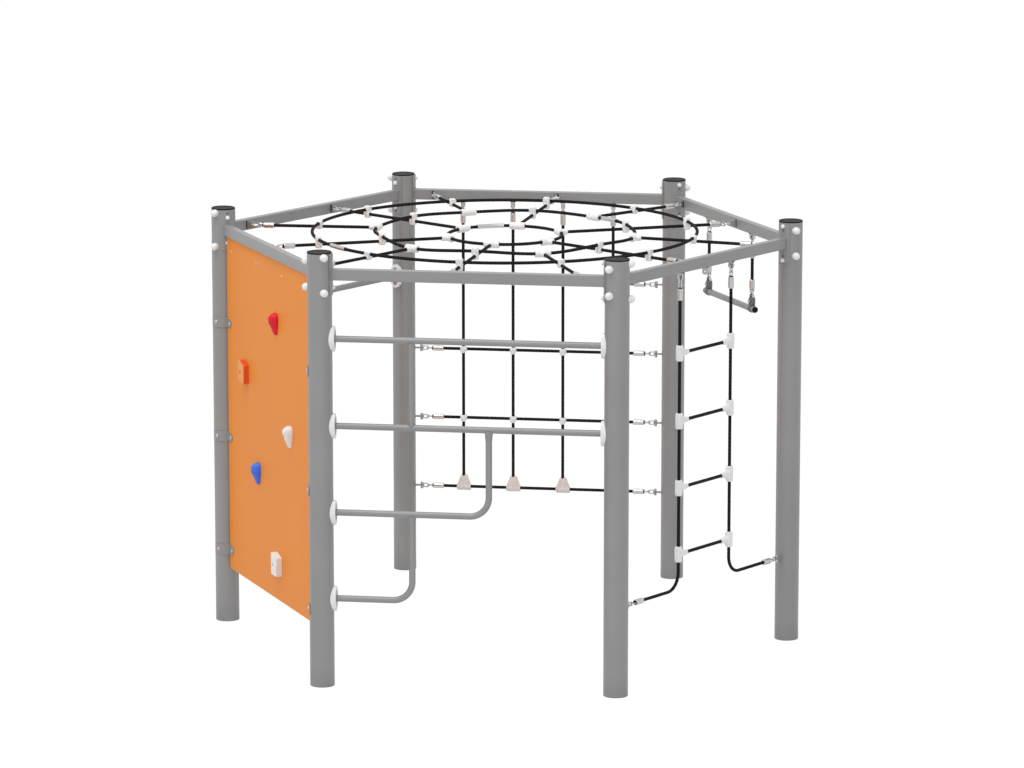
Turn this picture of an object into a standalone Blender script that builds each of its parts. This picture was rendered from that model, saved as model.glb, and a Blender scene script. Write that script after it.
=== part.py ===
"""Hexagonal climbing frame with a rope spiderweb on top and a climbing element on every side.

Side k runs from post k to post k + 1, counter-clockwise from above. In the frame of a side, X runs from the
axis of post k along the side, Y points to the inside and Z is up, with the origin at the foot of post k.
"""

import math

import bmesh
import bpy
from mathutils import Matrix, Vector

# Sizes in metres, angles in degrees
GAP = 0.0003            # left between pieces that touch
SINK = 0.002            # how far a welded or moulded piece reaches into its neighbour

# Posts and their caps
SIDES = 6
SIDE = 1.525            # from post axis to post axis
MIDDLE = SIDE / 2
POST_R = 0.0635
POST_WALL = 0.004
POST_TOP = 2.263
POST_FACETS = 18
CAP_RISE = 0.003
CAP_EDGE = 0.002
CAP_DEPTH = 0.030

# Beams, the saddles at their ends and the caps on the far ends of their bolts
BEAM_Z = POST_TOP - 0.108
BEAM_H = 0.060
BEAM_W = 0.040
BEAM_WALL = 0.003
SADDLE_T = 0.005
SADDLE_H = 0.214
NEAR_BOLT = 0.068       # of a saddle's two pairs of holes, above and below the beam's middle
FAR_BOLT = 0.0905       # the first saddle is bolted at the near pair, the second at the far pair
BOLT_HOLE_R = 0.007
DOME_R = 0.0195
DOME_TOP_R = 0.0115
DOME_SIDES = 6
DOME_H = 0.025
DOME_SINK = 0.0035      # so that its rim reaches the round post
NUT_R = 0.011           # caps over the nuts on the saddles
NUT_TOP_R = 0.0075
NUT_H = 0.012

# Rope, and the jaw with its pin at a rope's end
ROPE_R = 0.008
ROPE_SIDES = 6
PIN_R = 0.005
PIN_SIDES = 6
LUG_T = 0.006
LUG_R = 0.013
LUG_ROOT = 0.008        # how far a web lug reaches into its beam
DISC_R = 0.0185         # the round lugs that the trapeze hangs from
JAW_T = 0.005
JAW_R = 0.0125
JAW_END = 0.009
FERRULE_R = 0.0145
FERRULE_SIDES = 6
FERRULE = 0.062

# Spiderweb
WEB_PIN_Y = 0.050       # web pins, inwards from the side's middle plane
WEB_FORK = 0.040
LONG_ANCHOR = MIDDLE - 0.1125       # where the long radials meet the side
SHORT_ANCHOR = SIDE - 0.1605
OUTER_RING_R = SIDE - 0.501
MIDDLE_RING_R = OUTER_RING_R - 0.347        # where it crosses the long radials
INNER_RING_R = OUTER_RING_R - 0.719
RING_RISE = 0.025       # of the outer and middle rings over the long radials
RING_PULL = 0.023       # how far the short radials pull the middle ring outwards
RING_DIP = 0.011        # and downwards
OUTER_RING_STEPS = 36
MIDDLE_RING_STEPS = 30
INNER_RING_STEPS = 18
CROSS_W = 0.035         # cross connectors
CROSS_CORNER = 0.007
BARREL_R = 0.0185       # T connectors
BARREL_SIDES = 6
TEE_BARREL = 0.074
TEE_STUB = 0.040
TEE_STUB_R = 0.015
SLEEVE_R = 0.012        # the long sleeves that close the rings
OUTER_SLEEVE = (216.0, 224.2)
MIDDLE_SLEEVE = (36.5, 48.8)
INNER_SLEEVE = (99.0, 127.5)

# Climbing panel, its tabs and brackets, and the holds
PANEL_T = 0.015
PANEL_CLEAR = 0.010     # between the panel and the posts
PANEL_W = SIDE - 2 * (POST_R + PANEL_CLEAR)
PANEL_LOW = 0.302
PANEL_HIGH = BEAM_Z - BEAM_H / 2 - 0.001
PANEL_CORNER = 0.012
NOTCH = 0.002           # clearance of the panel's notches round the nut caps
TAB_EDGE = 0.078        # from the panel's edge to the middle of the last tab
TAB_W = 0.040
TAB_T = 0.006
TAB_LOW = BEAM_Z - 0.125
BRACKET_AT = (0.405, 1.030, 1.655)
BRACKET_H = 0.056
BRACKET_T = 0.004
EAR_LAP = 0.0645        # of a bracket's ear over the panel
EAR_REACH = POST_R + PANEL_CLEAR + EAR_LAP      # from the post's axis
EAR_H = 0.045
BRACKET_BOLT_X = EAR_REACH - 0.023
BRACKET_HEAD_R = 0.010
BRACKET_HEAD = 0.004
# Places of the holds on the panel
DROP_HOLDS = {
    "hold_red_drop": (MIDDLE + 0.1075, 1.785),
    "hold_white_drop": (MIDDLE + 0.3190, 1.224),
    "hold_blue_drop": (MIDDLE - 0.1950, 0.927),
}
BLOCK_HOLDS = {
    "hold_coral_block": (MIDDLE - 0.3885, 1.443),
    "hold_white_block": (MIDDLE + 0.1185, 0.501),
}
DROP_W = 0.068
DROP_H = 0.126
DROP_DEPTH = 0.045
DROP_TAPER = 0.65       # how much narrower its bottom is than its middle
DROP_TOP_TAPER = 0.10
DROP_NOSE = 0.2         # how far its upper half stands out over its lower half
BLOCK_OUTLINE = ((-0.040, -0.056), (0.046, -0.054), (0.048, 0.042), (-0.016, 0.057), (-0.047, 0.052))
BLOCK_DEPTH = 0.026
BLOCK_EDGE = 0.005

# Stepped bars and the pull-up bar
BAR_R = 0.01685
BAR_SIDES = 10
BAR_HIGH = BEAM_Z - 0.334
BAR_PITCH = 0.453
BEND_R = 0.100
BEND_STEPS = 5
SHORT_UPRIGHT = MIDDLE - 0.2915
HIGH_RISER = MIDDLE + 0.1075
LOW_RISER = MIDDLE - 0.290
COLLAR_R = 0.021
COLLAR = 0.045
FLANGE_H = 0.136
FLANGE_W = 0.092
FLANGE_T = 0.008
PLATE_H = 0.100
PLATE_W = 0.060
PLATE_T = 0.006
PULL_UP_BAR = BEAM_Z - 0.460

# Rope ladder
LADDER_HALF = 0.2245
LADDER_PIN = BEAM_Z - 0.054
LADDER_FORK = 0.059
LADDER_LOW = 0.457
LADDER_BEND = 0.090
LADDER_BEND_STEPS = 5
LADDER_RUNGS = (0.643, 0.995, 1.348, 1.704)
RUNG_R = 0.009
RUNG_TEE = 0.082
RUNG_TEE_R = 0.017
RUNG_STUB = 0.074       # from the rope's axis
RUNG_STUB_R = 0.023     # at the rope, where it is flattened to the barrel
RUNG_STUB_FLAT = 0.72
RUNG_STUB_END_R = 0.013
SPARE_LUG = MIDDLE - 0.0075
POST_PIN = POST_R + 0.0345          # pins on the posts, from the post's axis
POST_FORK = 0.065

# Trapeze
TRAPEZE_HALF = 0.282
TRAPEZE_PIN = BEAM_Z - 0.049
TRAPEZE_FORK = 0.061
TRAPEZE_FERRULE = 0.050
CLEVIS_PIN = TRAPEZE_PIN - 0.321
CLEVIS_FORK = 0.035
TRAPEZE_BAR = CLEVIS_PIN - 0.0705
TRAPEZE_BAR_HALF = TRAPEZE_HALF + 0.0405
TRAPEZE_WALL = 0.0026
CLEVIS_W = 0.028
CLEVIS_D = 0.026
CLEVIS_TOP = CLEVIS_PIN - 0.017
END_CAP_T = 0.006
END_CAP_DEPTH = 0.020

# Rope net
NET_ROPES = (-0.423, -0.141, 0.141, 0.423)
NET_ROWS = (1.670, 1.276, 0.882, 0.484)
NET_PIN = BEAM_Z - 0.057
NET_FORK = 0.038
NET_OFFSET = 0.011      # of each set of ropes from the side's middle plane
NET_TEE_R = 0.0205
NET_TEE = 0.083
NET_TEE_TOP_R = 0.017
NET_TEE_BASE_R = 0.028
NET_TEE_RISE = 0.068

FACET = 360 / POST_FACETS
APOTHEM = SIDE * math.cos(math.pi / SIDES)
ALONG_X = Matrix(((0, 0, 1, 0), (1, 0, 0, 0), (0, 1, 0, 0), (0, 0, 0, 1)))
IN_PLANE = Matrix(((1, 0, 0, 0), (0, 0, -1, 0), (0, 1, 0, 0), (0, 0, 0, 1)))
UP = Vector((0, 0, 1))
DOWN = -UP
INWARD = Vector((0, 1, 0))
ALONG = Vector((1, 0, 0))


def clear_scene():
    for obj in list(bpy.data.objects):
        bpy.data.objects.remove(obj)


def new_collection(name, parent):
    collection = bpy.data.collections.new(name)
    parent.children.link(collection)
    return collection


def linear(channel):
    share = channel / 255
    return share / 12.92 if share <= 0.04045 else ((share + 0.055) / 1.055) ** 2.4


def material(name, colour, roughness, metallic=0.0):
    look = bpy.data.materials.new(name)
    look.use_nodes = True
    shader = look.node_tree.nodes["Principled BSDF"]
    shader.inputs["Base Color"].default_value = (*map(linear, colour), 1)
    shader.inputs["Roughness"].default_value = roughness
    shader.inputs["Metallic"].default_value = metallic
    return look


def empty(name, place, parent=None):
    mark = bpy.data.objects.new(name, None)
    mark.empty_display_size = 0.1
    mark.parent = parent
    mark.matrix_local = place
    GUIDES.objects.link(mark)
    return mark


# Frames of reference
def shift(x, y, z):
    return Matrix.Translation((x, y, z))


def side_frame(k):
    post_angle = math.radians(120 + 60 * k)
    foot = shift(SIDE * math.cos(post_angle), SIDE * math.sin(post_angle), 0)
    return foot @ Matrix.Rotation(math.radians(60 * k - 120), 4, "Z")


def aimed(origin, toward, pin_axis):
    """Frame of a pin: X points along the rope, Z along the pin."""
    x = Vector(toward).normalized()
    z = (Vector(pin_axis) - x * x.dot(pin_axis)).normalized()
    y = z.cross(x)
    frame = Matrix((x, y, z)).transposed().to_4x4()
    frame.translation = origin
    return frame


def arc(centre, radius, first, last, steps):
    """Points on an arc, both ends included."""
    angles = [math.radians(first + (last - first) * i / steps) for i in range(steps + 1)]
    return [(centre[0] + radius * math.cos(a), centre[1] + radius * math.sin(a)) for a in angles]


def snug(radius, sides):
    """Radius of the hole round a rod of as many sides that is turned like it."""
    return radius + GAP / math.cos(math.pi / sides)


def loose(radius, sides):
    """Radius of a hole with these sides that a rod of this radius turns in."""
    return (radius + GAP) / math.cos(math.pi / sides)


# Shapes, each a helper object until it is assembled
def shape(bm, place):
    bm.transform(place)
    bm.normal_update()
    bmesh.ops.recalc_face_normals(bm, faces=bm.faces)
    mesh = bpy.data.meshes.new("shape")
    bm.to_mesh(mesh)
    bm.free()
    return bpy.data.objects.new("shape", mesh)


def prism(outline, low, high, place=Matrix()):
    """The outline in XY, extruded along Z."""
    bm = bmesh.new()
    face = bm.faces.new([bm.verts.new((x, y, low)) for x, y in outline])
    raised = bmesh.ops.extrude_face_region(bm, geom=[face])["geom"]
    corners = [item for item in raised if isinstance(item, bmesh.types.BMVert)]
    bmesh.ops.translate(bm, verts=corners, vec=(0, 0, high - low))
    return shape(bm, place)


def rod(radius, low, high, sides, place=Matrix(), end_radius=None):
    """A cylinder or a cone along Z."""
    bm = bmesh.new()
    bmesh.ops.create_cone(
        bm,
        cap_ends=True,
        segments=sides,
        radius1=radius,
        radius2=radius if end_radius is None else end_radius,
        depth=high - low,
    )
    return shape(bm, place @ shift(0, 0, (low + high) / 2))


def box(size, centre, place=Matrix()):
    bm = bmesh.new()
    bmesh.ops.create_cube(bm, size=1)
    return shape(bm, place @ shift(*centre) @ Matrix.Diagonal((*size, 1)))


def oval(width, height, steps):
    """Outline of an ellipse."""
    return [(x * width / 2, y * height / 2) for x, y in arc((0, 0), 1, 0, 360, steps)[:-1]]


def rounded(width, height, corner, steps):
    """Outline of a rectangle with round corners, about its middle."""
    outline = []
    for first, sx, sy in ((0, 1, 1), (90, -1, 1), (180, -1, -1), (270, 1, -1)):
        centre = (sx * (width / 2 - corner), sy * (height / 2 - corner))
        outline += arc(centre, corner, first, first + 90, steps)
    return outline


def tube(route, radius, closed=False, resolution=1):
    """A rope along a route, as a mesh. A closed route is level, so its section keeps upright."""
    curve = bpy.data.curves.new("route", "CURVE")
    curve.dimensions = "3D"
    curve.twist_mode = "Z_UP" if closed else "MINIMUM"
    curve.bevel_depth = radius
    curve.bevel_resolution = resolution
    curve.use_fill_caps = True
    spline = curve.splines.new("POLY")
    spline.points.add(len(route) - 1)
    for point, place in zip(spline.points, route):
        point.co = (*place, 1)
    spline.use_cyclic_u = closed
    line = bpy.data.objects.new("route", curve)
    GUIDES.objects.link(line)
    bpy.context.view_layer.update()
    solid = line.evaluated_get(bpy.context.evaluated_depsgraph_get())
    mesh = bpy.data.meshes.new_from_object(solid)
    bpy.data.objects.remove(line)
    bm = bmesh.new()
    bm.from_mesh(mesh)
    bmesh.ops.remove_doubles(bm, verts=bm.verts, dist=0.00001)
    return shape(bm, Matrix())


def band(middle, half_facets, inner, outer, low, high, place=Matrix()):
    """Part of a round shell about a post's axis. Its edges lie on the corners of the post's facets."""
    half = half_facets * FACET / 2
    outline = arc((0, 0), outer, middle - half, middle + half, half_facets)
    outline += arc((0, 0), inner, middle + half, middle - half, half_facets)
    return prism(outline, low, high, place)


def oval_plate(place, z, width, height, inner, outer, steps, half_facets):
    """An oval plate wrapped round a post, facing along X of its frame."""
    plate = band(0, half_facets, inner, outer, z - height, z + height, place)
    cutter = prism(oval(width, height, steps), 0, 2 * outer, place @ shift(0, 0, z) @ ALONG_X)
    keep_inside(plate, cutter)
    return plate


def keep_inside(piece, cutter):
    hide(cutter, piece, GUIDES)
    modifier = piece.modifiers.new("Outline", "BOOLEAN")
    modifier.operation = "INTERSECT"
    modifier.object = cutter


def hide(helper, parent, collection):
    helper.parent = parent
    helper.hide_render = True
    helper.display_type = "WIRE"
    collection.objects.link(helper)


def assemble(name, parent, look, joined, cuts=()):
    """Names the first shape as a piece, joins the others to it and takes the cuts away."""
    piece = joined[0]
    piece.name = name
    piece.data.name = name
    piece.data.materials.append(look)
    piece.parent = parent
    PARTS.objects.link(piece)
    for title, operation, helpers in (("Join", "UNION", joined[1:]), ("Cut", "DIFFERENCE", cuts)):
        if not helpers:
            continue
        group = new_collection(name + " " + title.lower(), GUIDES)
        for number, helper in enumerate(helpers):
            helper.name = f"{name} {title.lower()} {number + 1}"
            hide(helper, parent, group)
        modifier = piece.modifiers.new(title, "BOOLEAN")
        modifier.operation = operation
        modifier.operand_type = "COLLECTION"
        modifier.collection = group
    return piece


def smooth(piece, sharp=35):
    piece.data.shade_smooth()
    piece.data.set_sharp_from_angle(angle=math.radians(sharp))
    return piece


# Details that several pieces share
def lug(place, reach, radius=LUG_R):
    """Plate with a round end about a pin. It is welded to what lies `reach` behind the pin."""
    outline = arc((0, 0), radius, -90, 90, 3) + [(-reach, radius), (-reach, -radius)]
    return prism(outline, -LUG_T / 2, LUG_T / 2, place)


def lug_hole(place):
    return rod(loose(PIN_R, PIN_SIDES), -LUG_T, LUG_T, PIN_SIDES, place)


def rope_end(place, fork, ferrule=FERRULE):
    """Two cheeks with a pin between them, and the ferrule that holds them to the rope."""
    near = LUG_T / 2 + GAP
    far = near + JAW_T
    outline = arc((0, 0), JAW_R, 90, 270, 3) + [(fork + SINK, -JAW_END), (fork + SINK, JAW_END)]
    return [
        prism(outline, near, far, place),
        prism(outline, -far, -near, place),
        rod(PIN_R, -near - JAW_T / 2, near + JAW_T / 2, PIN_SIDES, place),
        rod(FERRULE_R, fork, fork + ferrule, FERRULE_SIDES, place @ ALONG_X),
    ]


def straight_rope(place, low, high):
    """Rope along X of a pin's frame."""
    return rod(ROPE_R, low, high, ROPE_SIDES, place @ ALONG_X)


def dome(angle, z):
    """Large round cap over a bolt's end, on a post's outer face."""
    face = POST_R * math.cos(math.radians(FACET / 2))
    place = Matrix.Rotation(math.radians(angle), 4, "Z") @ shift(face, 0, z) @ ALONG_X
    place = place @ Matrix.Rotation(math.pi / DOME_SIDES, 4, "Z")
    return rod(DOME_R, -DOME_SINK, DOME_H, DOME_SIDES, place, end_radius=DOME_TOP_R)


# The frame
def make_posts(steel):
    lug_rows = {3: ((0, LADDER_LOW, 0),), 4: ((120, LADDER_LOW, 0),)}
    lug_rows[5] = tuple((0, z, -NET_OFFSET) for z in NET_ROWS)
    lug_rows[6] = tuple((120, z, NET_OFFSET) for z in NET_ROWS)
    for k in range(1, SIDES + 1):
        joined = [rod(POST_R, 0, POST_TOP, POST_FACETS)]
        cuts = [rod(POST_R - POST_WALL, -SINK, POST_TOP + SINK, POST_FACETS)]
        for sign in (-1, 1):
            joined.append(dome(180, BEAM_Z + sign * NEAR_BOLT))
            joined.append(dome(-60, BEAM_Z + sign * FAR_BOLT))
        for angle, z, offset in lug_rows.get(k, ()):
            turn = Matrix.Rotation(math.radians(angle), 4, "Z")
            place = turn @ aimed((POST_PIN, offset, z), ALONG, UP)
            joined.append(lug(place, POST_PIN - POST_R + 2 * POST_WALL))
            cuts.append(lug_hole(place))
        smooth(assemble(f"post_{k}", SIDE_EMPTIES[k], steel, joined, cuts))


def make_post_caps(black):
    """Plug with a spigot in the post and a chamfered rim on the post's end."""
    bore = POST_R - POST_WALL
    spigot = bore - GAP / math.cos(math.radians(FACET / 2))
    for k in range(1, SIDES + 1):
        top = POST_TOP + CAP_RISE
        rim = rod(POST_R - GAP, POST_TOP + GAP, top, POST_FACETS, end_radius=POST_R - CAP_EDGE)
        plug = rod(spigot, POST_TOP - CAP_DEPTH, POST_TOP + SINK, POST_FACETS // 2)
        smooth(assemble(f"post_cap_{k}", SIDE_EMPTIES[k], black, [rim, plug]))


def web_anchor(anchor):
    """Frame of a web pin on a side. The rope runs from it to the middle of the frame."""
    centre = Vector((MIDDLE, APOTHEM, BEAM_Z))
    start = Vector((anchor, 0, BEAM_Z))
    toward = centre - start
    pin = start + toward * (WEB_PIN_Y / APOTHEM)
    return aimed(pin, toward, UP)


def hanging(x, z, pin_axis, offset=0.0):
    """Frame of a pin under a beam, with its rope straight down."""
    return aimed((x, offset, z), DOWN, pin_axis)


def beam_lugs(k):
    """Pin frame, reach and radius of each lug on beam k."""
    inner = WEB_PIN_Y - BEAM_W / 2 + LUG_ROOT
    under = BEAM_Z - BEAM_H / 2 + BEAM_WALL / 2
    found = [(web_anchor(LONG_ANCHOR), inner, LUG_R), (web_anchor(SHORT_ANCHOR), inner, LUG_R)]
    if k == 3:
        for x in (MIDDLE - LADDER_HALF, SPARE_LUG, MIDDLE + LADDER_HALF):
            found.append((hanging(x, LADDER_PIN, ALONG), under - LADDER_PIN, LUG_R))
    if k == 4:
        for x in (MIDDLE - TRAPEZE_HALF, MIDDLE + TRAPEZE_HALF):
            found.append((hanging(x, TRAPEZE_PIN, ALONG), under - TRAPEZE_PIN, DISC_R))
    if k == 5:
        for x in NET_ROPES:
            found.append((hanging(MIDDLE + x, NET_PIN, INWARD, NET_OFFSET), under - NET_PIN, LUG_R))
    return found


def make_beams(steel):
    inner = snug(POST_R, POST_FACETS)
    outer = inner + SADDLE_T
    low = BEAM_Z - SADDLE_H / 2
    far_post = shift(SIDE, 0, 0) @ Matrix.Rotation(math.pi, 4, "Z")
    bore = (SIDE - 2 * (POST_R - POST_WALL), BEAM_W - 2 * BEAM_WALL, BEAM_H - 2 * BEAM_WALL)
    clear = POST_R - POST_WALL
    for k in range(1, SIDES + 1):
        joined = [box((SIDE - 2 * (inner + SINK), BEAM_W, BEAM_H), (MIDDLE, 0, BEAM_Z))]
        cuts = [box(bore, (MIDDLE, 0, BEAM_Z))]
        for post, used, spare in ((Matrix(), NEAR_BOLT, FAR_BOLT), (far_post, FAR_BOLT, NEAR_BOLT)):
            joined.append(band(0, 3, inner, outer, low, low + SADDLE_H, post))
            for sign in (-1, 1):
                nut = post @ shift(0, 0, BEAM_Z + sign * used) @ ALONG_X
                joined.append(rod(NUT_R, outer - SADDLE_T / 2, outer + NUT_H, 6, nut, end_radius=NUT_TOP_R))
                hole = post @ shift(0, 0, BEAM_Z + sign * spare) @ ALONG_X
                cuts.append(rod(BOLT_HOLE_R, clear, outer + SINK, 6, hole))
        for place, reach, radius in beam_lugs(k):
            joined.append(lug(place, reach, radius))
            cuts.append(lug_hole(place))
        if k == 1:
            tabs = PANEL_W / 2 - TAB_EDGE
            for x in (MIDDLE - tabs, MIDDLE - tabs / 3, MIDDLE + tabs / 3, MIDDLE + tabs):
                top = BEAM_Z - BEAM_H / 2 + BEAM_WALL / 2
                y = PANEL_T / 2 + GAP + TAB_T / 2
                joined.append(box((TAB_W, TAB_T, top - TAB_LOW), (x, y, (top + TAB_LOW) / 2)))
        smooth(assemble(f"beam_{k}", SIDE_EMPTIES[k], steel, joined, cuts))


# Side 1: climbing panel
def bracket_places():
    """Name, frame and height of each bracket. X of the frame points to the panel, Y to the inside."""
    mirrored = shift(SIDE, 0, 0) @ Matrix.Diagonal((-1, 1, 1, 1))
    for row, z in enumerate(BRACKET_AT):
        yield f"panel_bracket_{2 * row + 1}", Matrix(), z
        yield f"panel_bracket_{2 * row + 2}", mirrored, z


def make_panel(orange):
    outline = rounded(PANEL_W, PANEL_HIGH - PANEL_LOW, PANEL_CORNER, 2)
    middle = shift(MIDDLE, 0, (PANEL_LOW + PANEL_HIGH) / 2) @ IN_PLANE
    panel = prism(outline, -PANEL_T / 2, PANEL_T / 2, middle)
    reach = snug(POST_R, POST_FACETS) + SADDLE_T + NUT_H + NOTCH
    size = (2 * reach, 2 * PANEL_T, 2 * (NUT_R + NOTCH))
    notches = [box(size, (0, 0, BEAM_Z - NEAR_BOLT)), box(size, (SIDE, 0, BEAM_Z - FAR_BOLT))]
    assemble("climbing_panel", SIDE_EMPTIES[1], orange, [panel], notches)


def make_brackets(steel):
    """A plate wrapped round the outer face of the post, with a flat ear on the panel and its bolt's head."""
    inner = snug(POST_R, POST_FACETS)
    outer = inner + BRACKET_T
    face = PANEL_T / 2 + GAP
    half = BRACKET_H / 2
    for name, place, z in bracket_places():
        wrap = band(-50, 4, inner, outer, z - half, z + half, place)
        root = outer - BRACKET_T / 2
        ear_outline = arc((EAR_REACH - EAR_H / 2, 0), EAR_H / 2, -90, 90, 3)
        ear_outline += [(root, EAR_H / 2), (root, -EAR_H / 2)]
        ear = prism(ear_outline, face, face + BRACKET_T, place @ shift(0, 0, z) @ IN_PLANE)
        bolt_axis = place @ shift(BRACKET_BOLT_X, 0, z) @ IN_PLANE
        head = rod(BRACKET_HEAD_R, face + SINK, face + BRACKET_T + BRACKET_HEAD, 6, bolt_axis)
        smooth(assemble(name, SIDE_EMPTIES[1], steel, [wrap, ear, head]))


def finish_hold(name, bm, look):
    x, z = (DROP_HOLDS | BLOCK_HOLDS)[name]
    hold = shape(bm, shift(x, -PANEL_T / 2 - GAP, z))
    smooth(assemble(name, SIDE_EMPTIES[1], look, [hold]), 60)


def make_drop_hold(name, look):
    """A moulded hold: an egg with a narrow foot, flat at the panel."""
    bm = bmesh.new()
    bmesh.ops.create_uvsphere(bm, u_segments=10, v_segments=7, radius=1)
    for vert in bm.verts:
        share = vert.co.z
        narrow = 1 - (DROP_TOP_TAPER if share > 0 else DROP_TAPER) * share * share
        vert.co.x = vert.co.x * narrow * DROP_W / 2
        vert.co.y = vert.co.y * (1 + DROP_NOSE * share) * DROP_DEPTH
        vert.co.z = share * DROP_H / 2
    geometry = bm.verts[:] + bm.edges[:] + bm.faces[:]
    bmesh.ops.bisect_plane(bm, geom=geometry, plane_co=(0, 0, 0), plane_no=(0, 1, 0), clear_outer=True)
    rim = [edge for edge in bm.edges if edge.is_boundary]
    bmesh.ops.contextual_create(bm, geom=rim)
    finish_hold(name, bm, look)


def make_block_hold(name, look):
    """A moulded block with a slanting top and a chamfer round its face."""
    bm = bmesh.new()
    face = bm.faces.new([bm.verts.new((x, 0, z)) for x, z in BLOCK_OUTLINE])
    raised = bmesh.ops.extrude_face_region(bm, geom=[face])["geom"]
    corners = [item for item in raised if isinstance(item, bmesh.types.BMVert)]
    bmesh.ops.translate(bm, verts=corners, vec=(0, -BLOCK_DEPTH, 0))
    rim = [edge for edge in bm.edges if all(vert in corners for vert in edge.verts)]
    bmesh.ops.bevel(bm, geom=rim, offset=BLOCK_EDGE, segments=1, affect="EDGES")
    finish_hold(name, bm, look)


def make_holds(red, coral, white, blue):
    make_drop_hold("hold_red_drop", red)
    make_drop_hold("hold_white_drop", white)
    make_drop_hold("hold_blue_drop", blue)
    make_block_hold("hold_coral_block", coral)
    make_block_hold("hold_white_block", white)


# Side 2: stepped bars. Side 6: pull-up bar
FLANGE_IN = snug(POST_R, POST_FACETS)
FLANGE_OUT = FLANGE_IN + FLANGE_T
PLATE_IN = FLANGE_OUT + GAP / math.cos(math.radians(FACET / 2))
PLATE_OUT = PLATE_IN + PLATE_T
BAR_START = PLATE_IN + SINK
FACING_BACK = shift(SIDE, 0, 0) @ Matrix.Rotation(math.pi, 4, "Z")


def flange(place, z):
    return oval_plate(place, z, FLANGE_W, FLANGE_H, FLANGE_IN, FLANGE_OUT, 12, 5)


def end_plate(place, z):
    return oval_plate(place, z, PLATE_W, PLATE_H, PLATE_IN, PLATE_OUT, 10, 3)


def make_straight_bar(name, k, z, steel):
    along = shift(0, 0, z) @ ALONG_X
    bar = rod(BAR_R, BAR_START, SIDE - BAR_START, BAR_SIDES, along)
    smooth(assemble(name, SIDE_EMPTIES[k], steel, [bar, end_plate(Matrix(), z), end_plate(FACING_BACK, z)]))


def coping(z, fit=snug):
    """What a bar takes out of a riser that ends against it."""
    return rod(fit(BAR_R, BAR_SIDES), 0, SIDE, BAR_SIDES, shift(0, 0, z) @ ALONG_X)


def make_bent_bar(name, z, riser, top, fit, steel):
    """Bar from post 2 that turns up and ends under the bar above it, with a collar at its top."""
    bend = arc((riser - BEND_R, z + BEND_R), BEND_R, -90, 0, BEND_STEPS)
    route = [(BAR_START, 0, z)] + [(x, 0, height) for x, height in bend] + [(riser, 0, top)]
    collar = rod(COLLAR_R, top - BAR_R - COLLAR, top, BAR_SIDES, shift(riser, 0, 0))
    bar = tube(route, BAR_R, resolution=3)
    smooth(assemble(name, SIDE_EMPTIES[2], steel, [bar, collar, end_plate(Matrix(), z)], [coping(top, fit)]))


def make_stepped_bars(steel, white):
    levels = [BAR_HIGH - BAR_PITCH * i for i in range(4)]
    make_straight_bar("step_bar_1", 2, levels[0], steel)
    make_straight_bar("step_bar_2", 2, levels[1], steel)
    upright = rod(BAR_R, levels[1], levels[0], BAR_SIDES, shift(SHORT_UPRIGHT, 0, 0))
    cuts = [coping(levels[0]), coping(levels[1])]
    smooth(assemble("short_upright", SIDE_EMPTIES[2], steel, [upright], cuts))
    make_bent_bar("bent_bar_1", levels[2], HIGH_RISER, levels[1], snug, steel)
    make_bent_bar("bent_bar_2", levels[3], LOW_RISER, levels[2], loose, steel)
    for number, z in enumerate(levels):
        smooth(assemble(f"bar_flange_{number + 1}", SIDE_EMPTIES[2], white, [flange(Matrix(), z)]))
    for number, z in enumerate(levels[:2]):
        smooth(assemble(f"bar_flange_{number + 5}", SIDE_EMPTIES[2], white, [flange(FACING_BACK, z)]))


def make_pull_up_bar(steel, white):
    make_straight_bar("pull_up_bar", 6, PULL_UP_BAR, steel)
    for number, place in enumerate((Matrix(), FACING_BACK)):
        name = f"pull_up_flange_{number + 1}"
        smooth(assemble(name, SIDE_EMPTIES[6], white, [flange(place, PULL_UP_BAR)]))


# Side 3: rope ladder
def make_ladder(rope, rung_look):
    sides = {"left": (Matrix(), MIDDLE - LADDER_HALF), "right": (FACING_BACK, MIDDLE - LADDER_HALF)}
    for name, (place, x) in sides.items():
        top = place @ hanging(x, LADDER_PIN, ALONG)
        foot = place @ aimed((POST_PIN, 0, LADDER_LOW), ALONG, UP)
        bend = arc((x - LADDER_BEND, LADDER_LOW + LADDER_BEND), LADDER_BEND, 0, -90, LADDER_BEND_STEPS)
        route = [(x, 0, LADDER_PIN - LADDER_FORK - FERRULE / 2)]
        route += [(px, 0, pz) for px, pz in bend]
        route += [(POST_PIN + POST_FORK + FERRULE / 2, 0, LADDER_LOW)]
        route = [place @ Vector(point) for point in route]
        joined = [tube(route, ROPE_R)]
        joined += rope_end(top, LADDER_FORK) + rope_end(foot, POST_FORK)
        smooth(assemble(f"ladder_rope_{name}", SIDE_EMPTIES[3], rope, joined))
    left = MIDDLE - LADDER_HALF
    right = MIDDLE + LADDER_HALF
    for number, z in enumerate(LADDER_RUNGS):
        joined = [rod(RUNG_R, left + RUNG_STUB / 2, right - RUNG_STUB / 2, 8, shift(0, 0, z) @ ALONG_X)]
        cuts = []
        for x, turn in ((left, 1), (right, -1)):
            upright = shift(x, 0, z)
            joined.append(rod(RUNG_TEE_R, -RUNG_TEE / 2, RUNG_TEE / 2, 6, upright))
            stub = upright @ Matrix.Diagonal((turn, RUNG_STUB_FLAT, 1, 1)) @ ALONG_X
            joined.append(rod(RUNG_STUB_R, 0, RUNG_STUB, 6, stub, end_radius=RUNG_STUB_END_R))
            cuts.append(rod(loose(ROPE_R, 8), -RUNG_TEE, RUNG_TEE, 8, upright))
        smooth(assemble(f"ladder_rung_{number + 1}", SIDE_EMPTIES[3], rung_look, joined, cuts))


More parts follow.
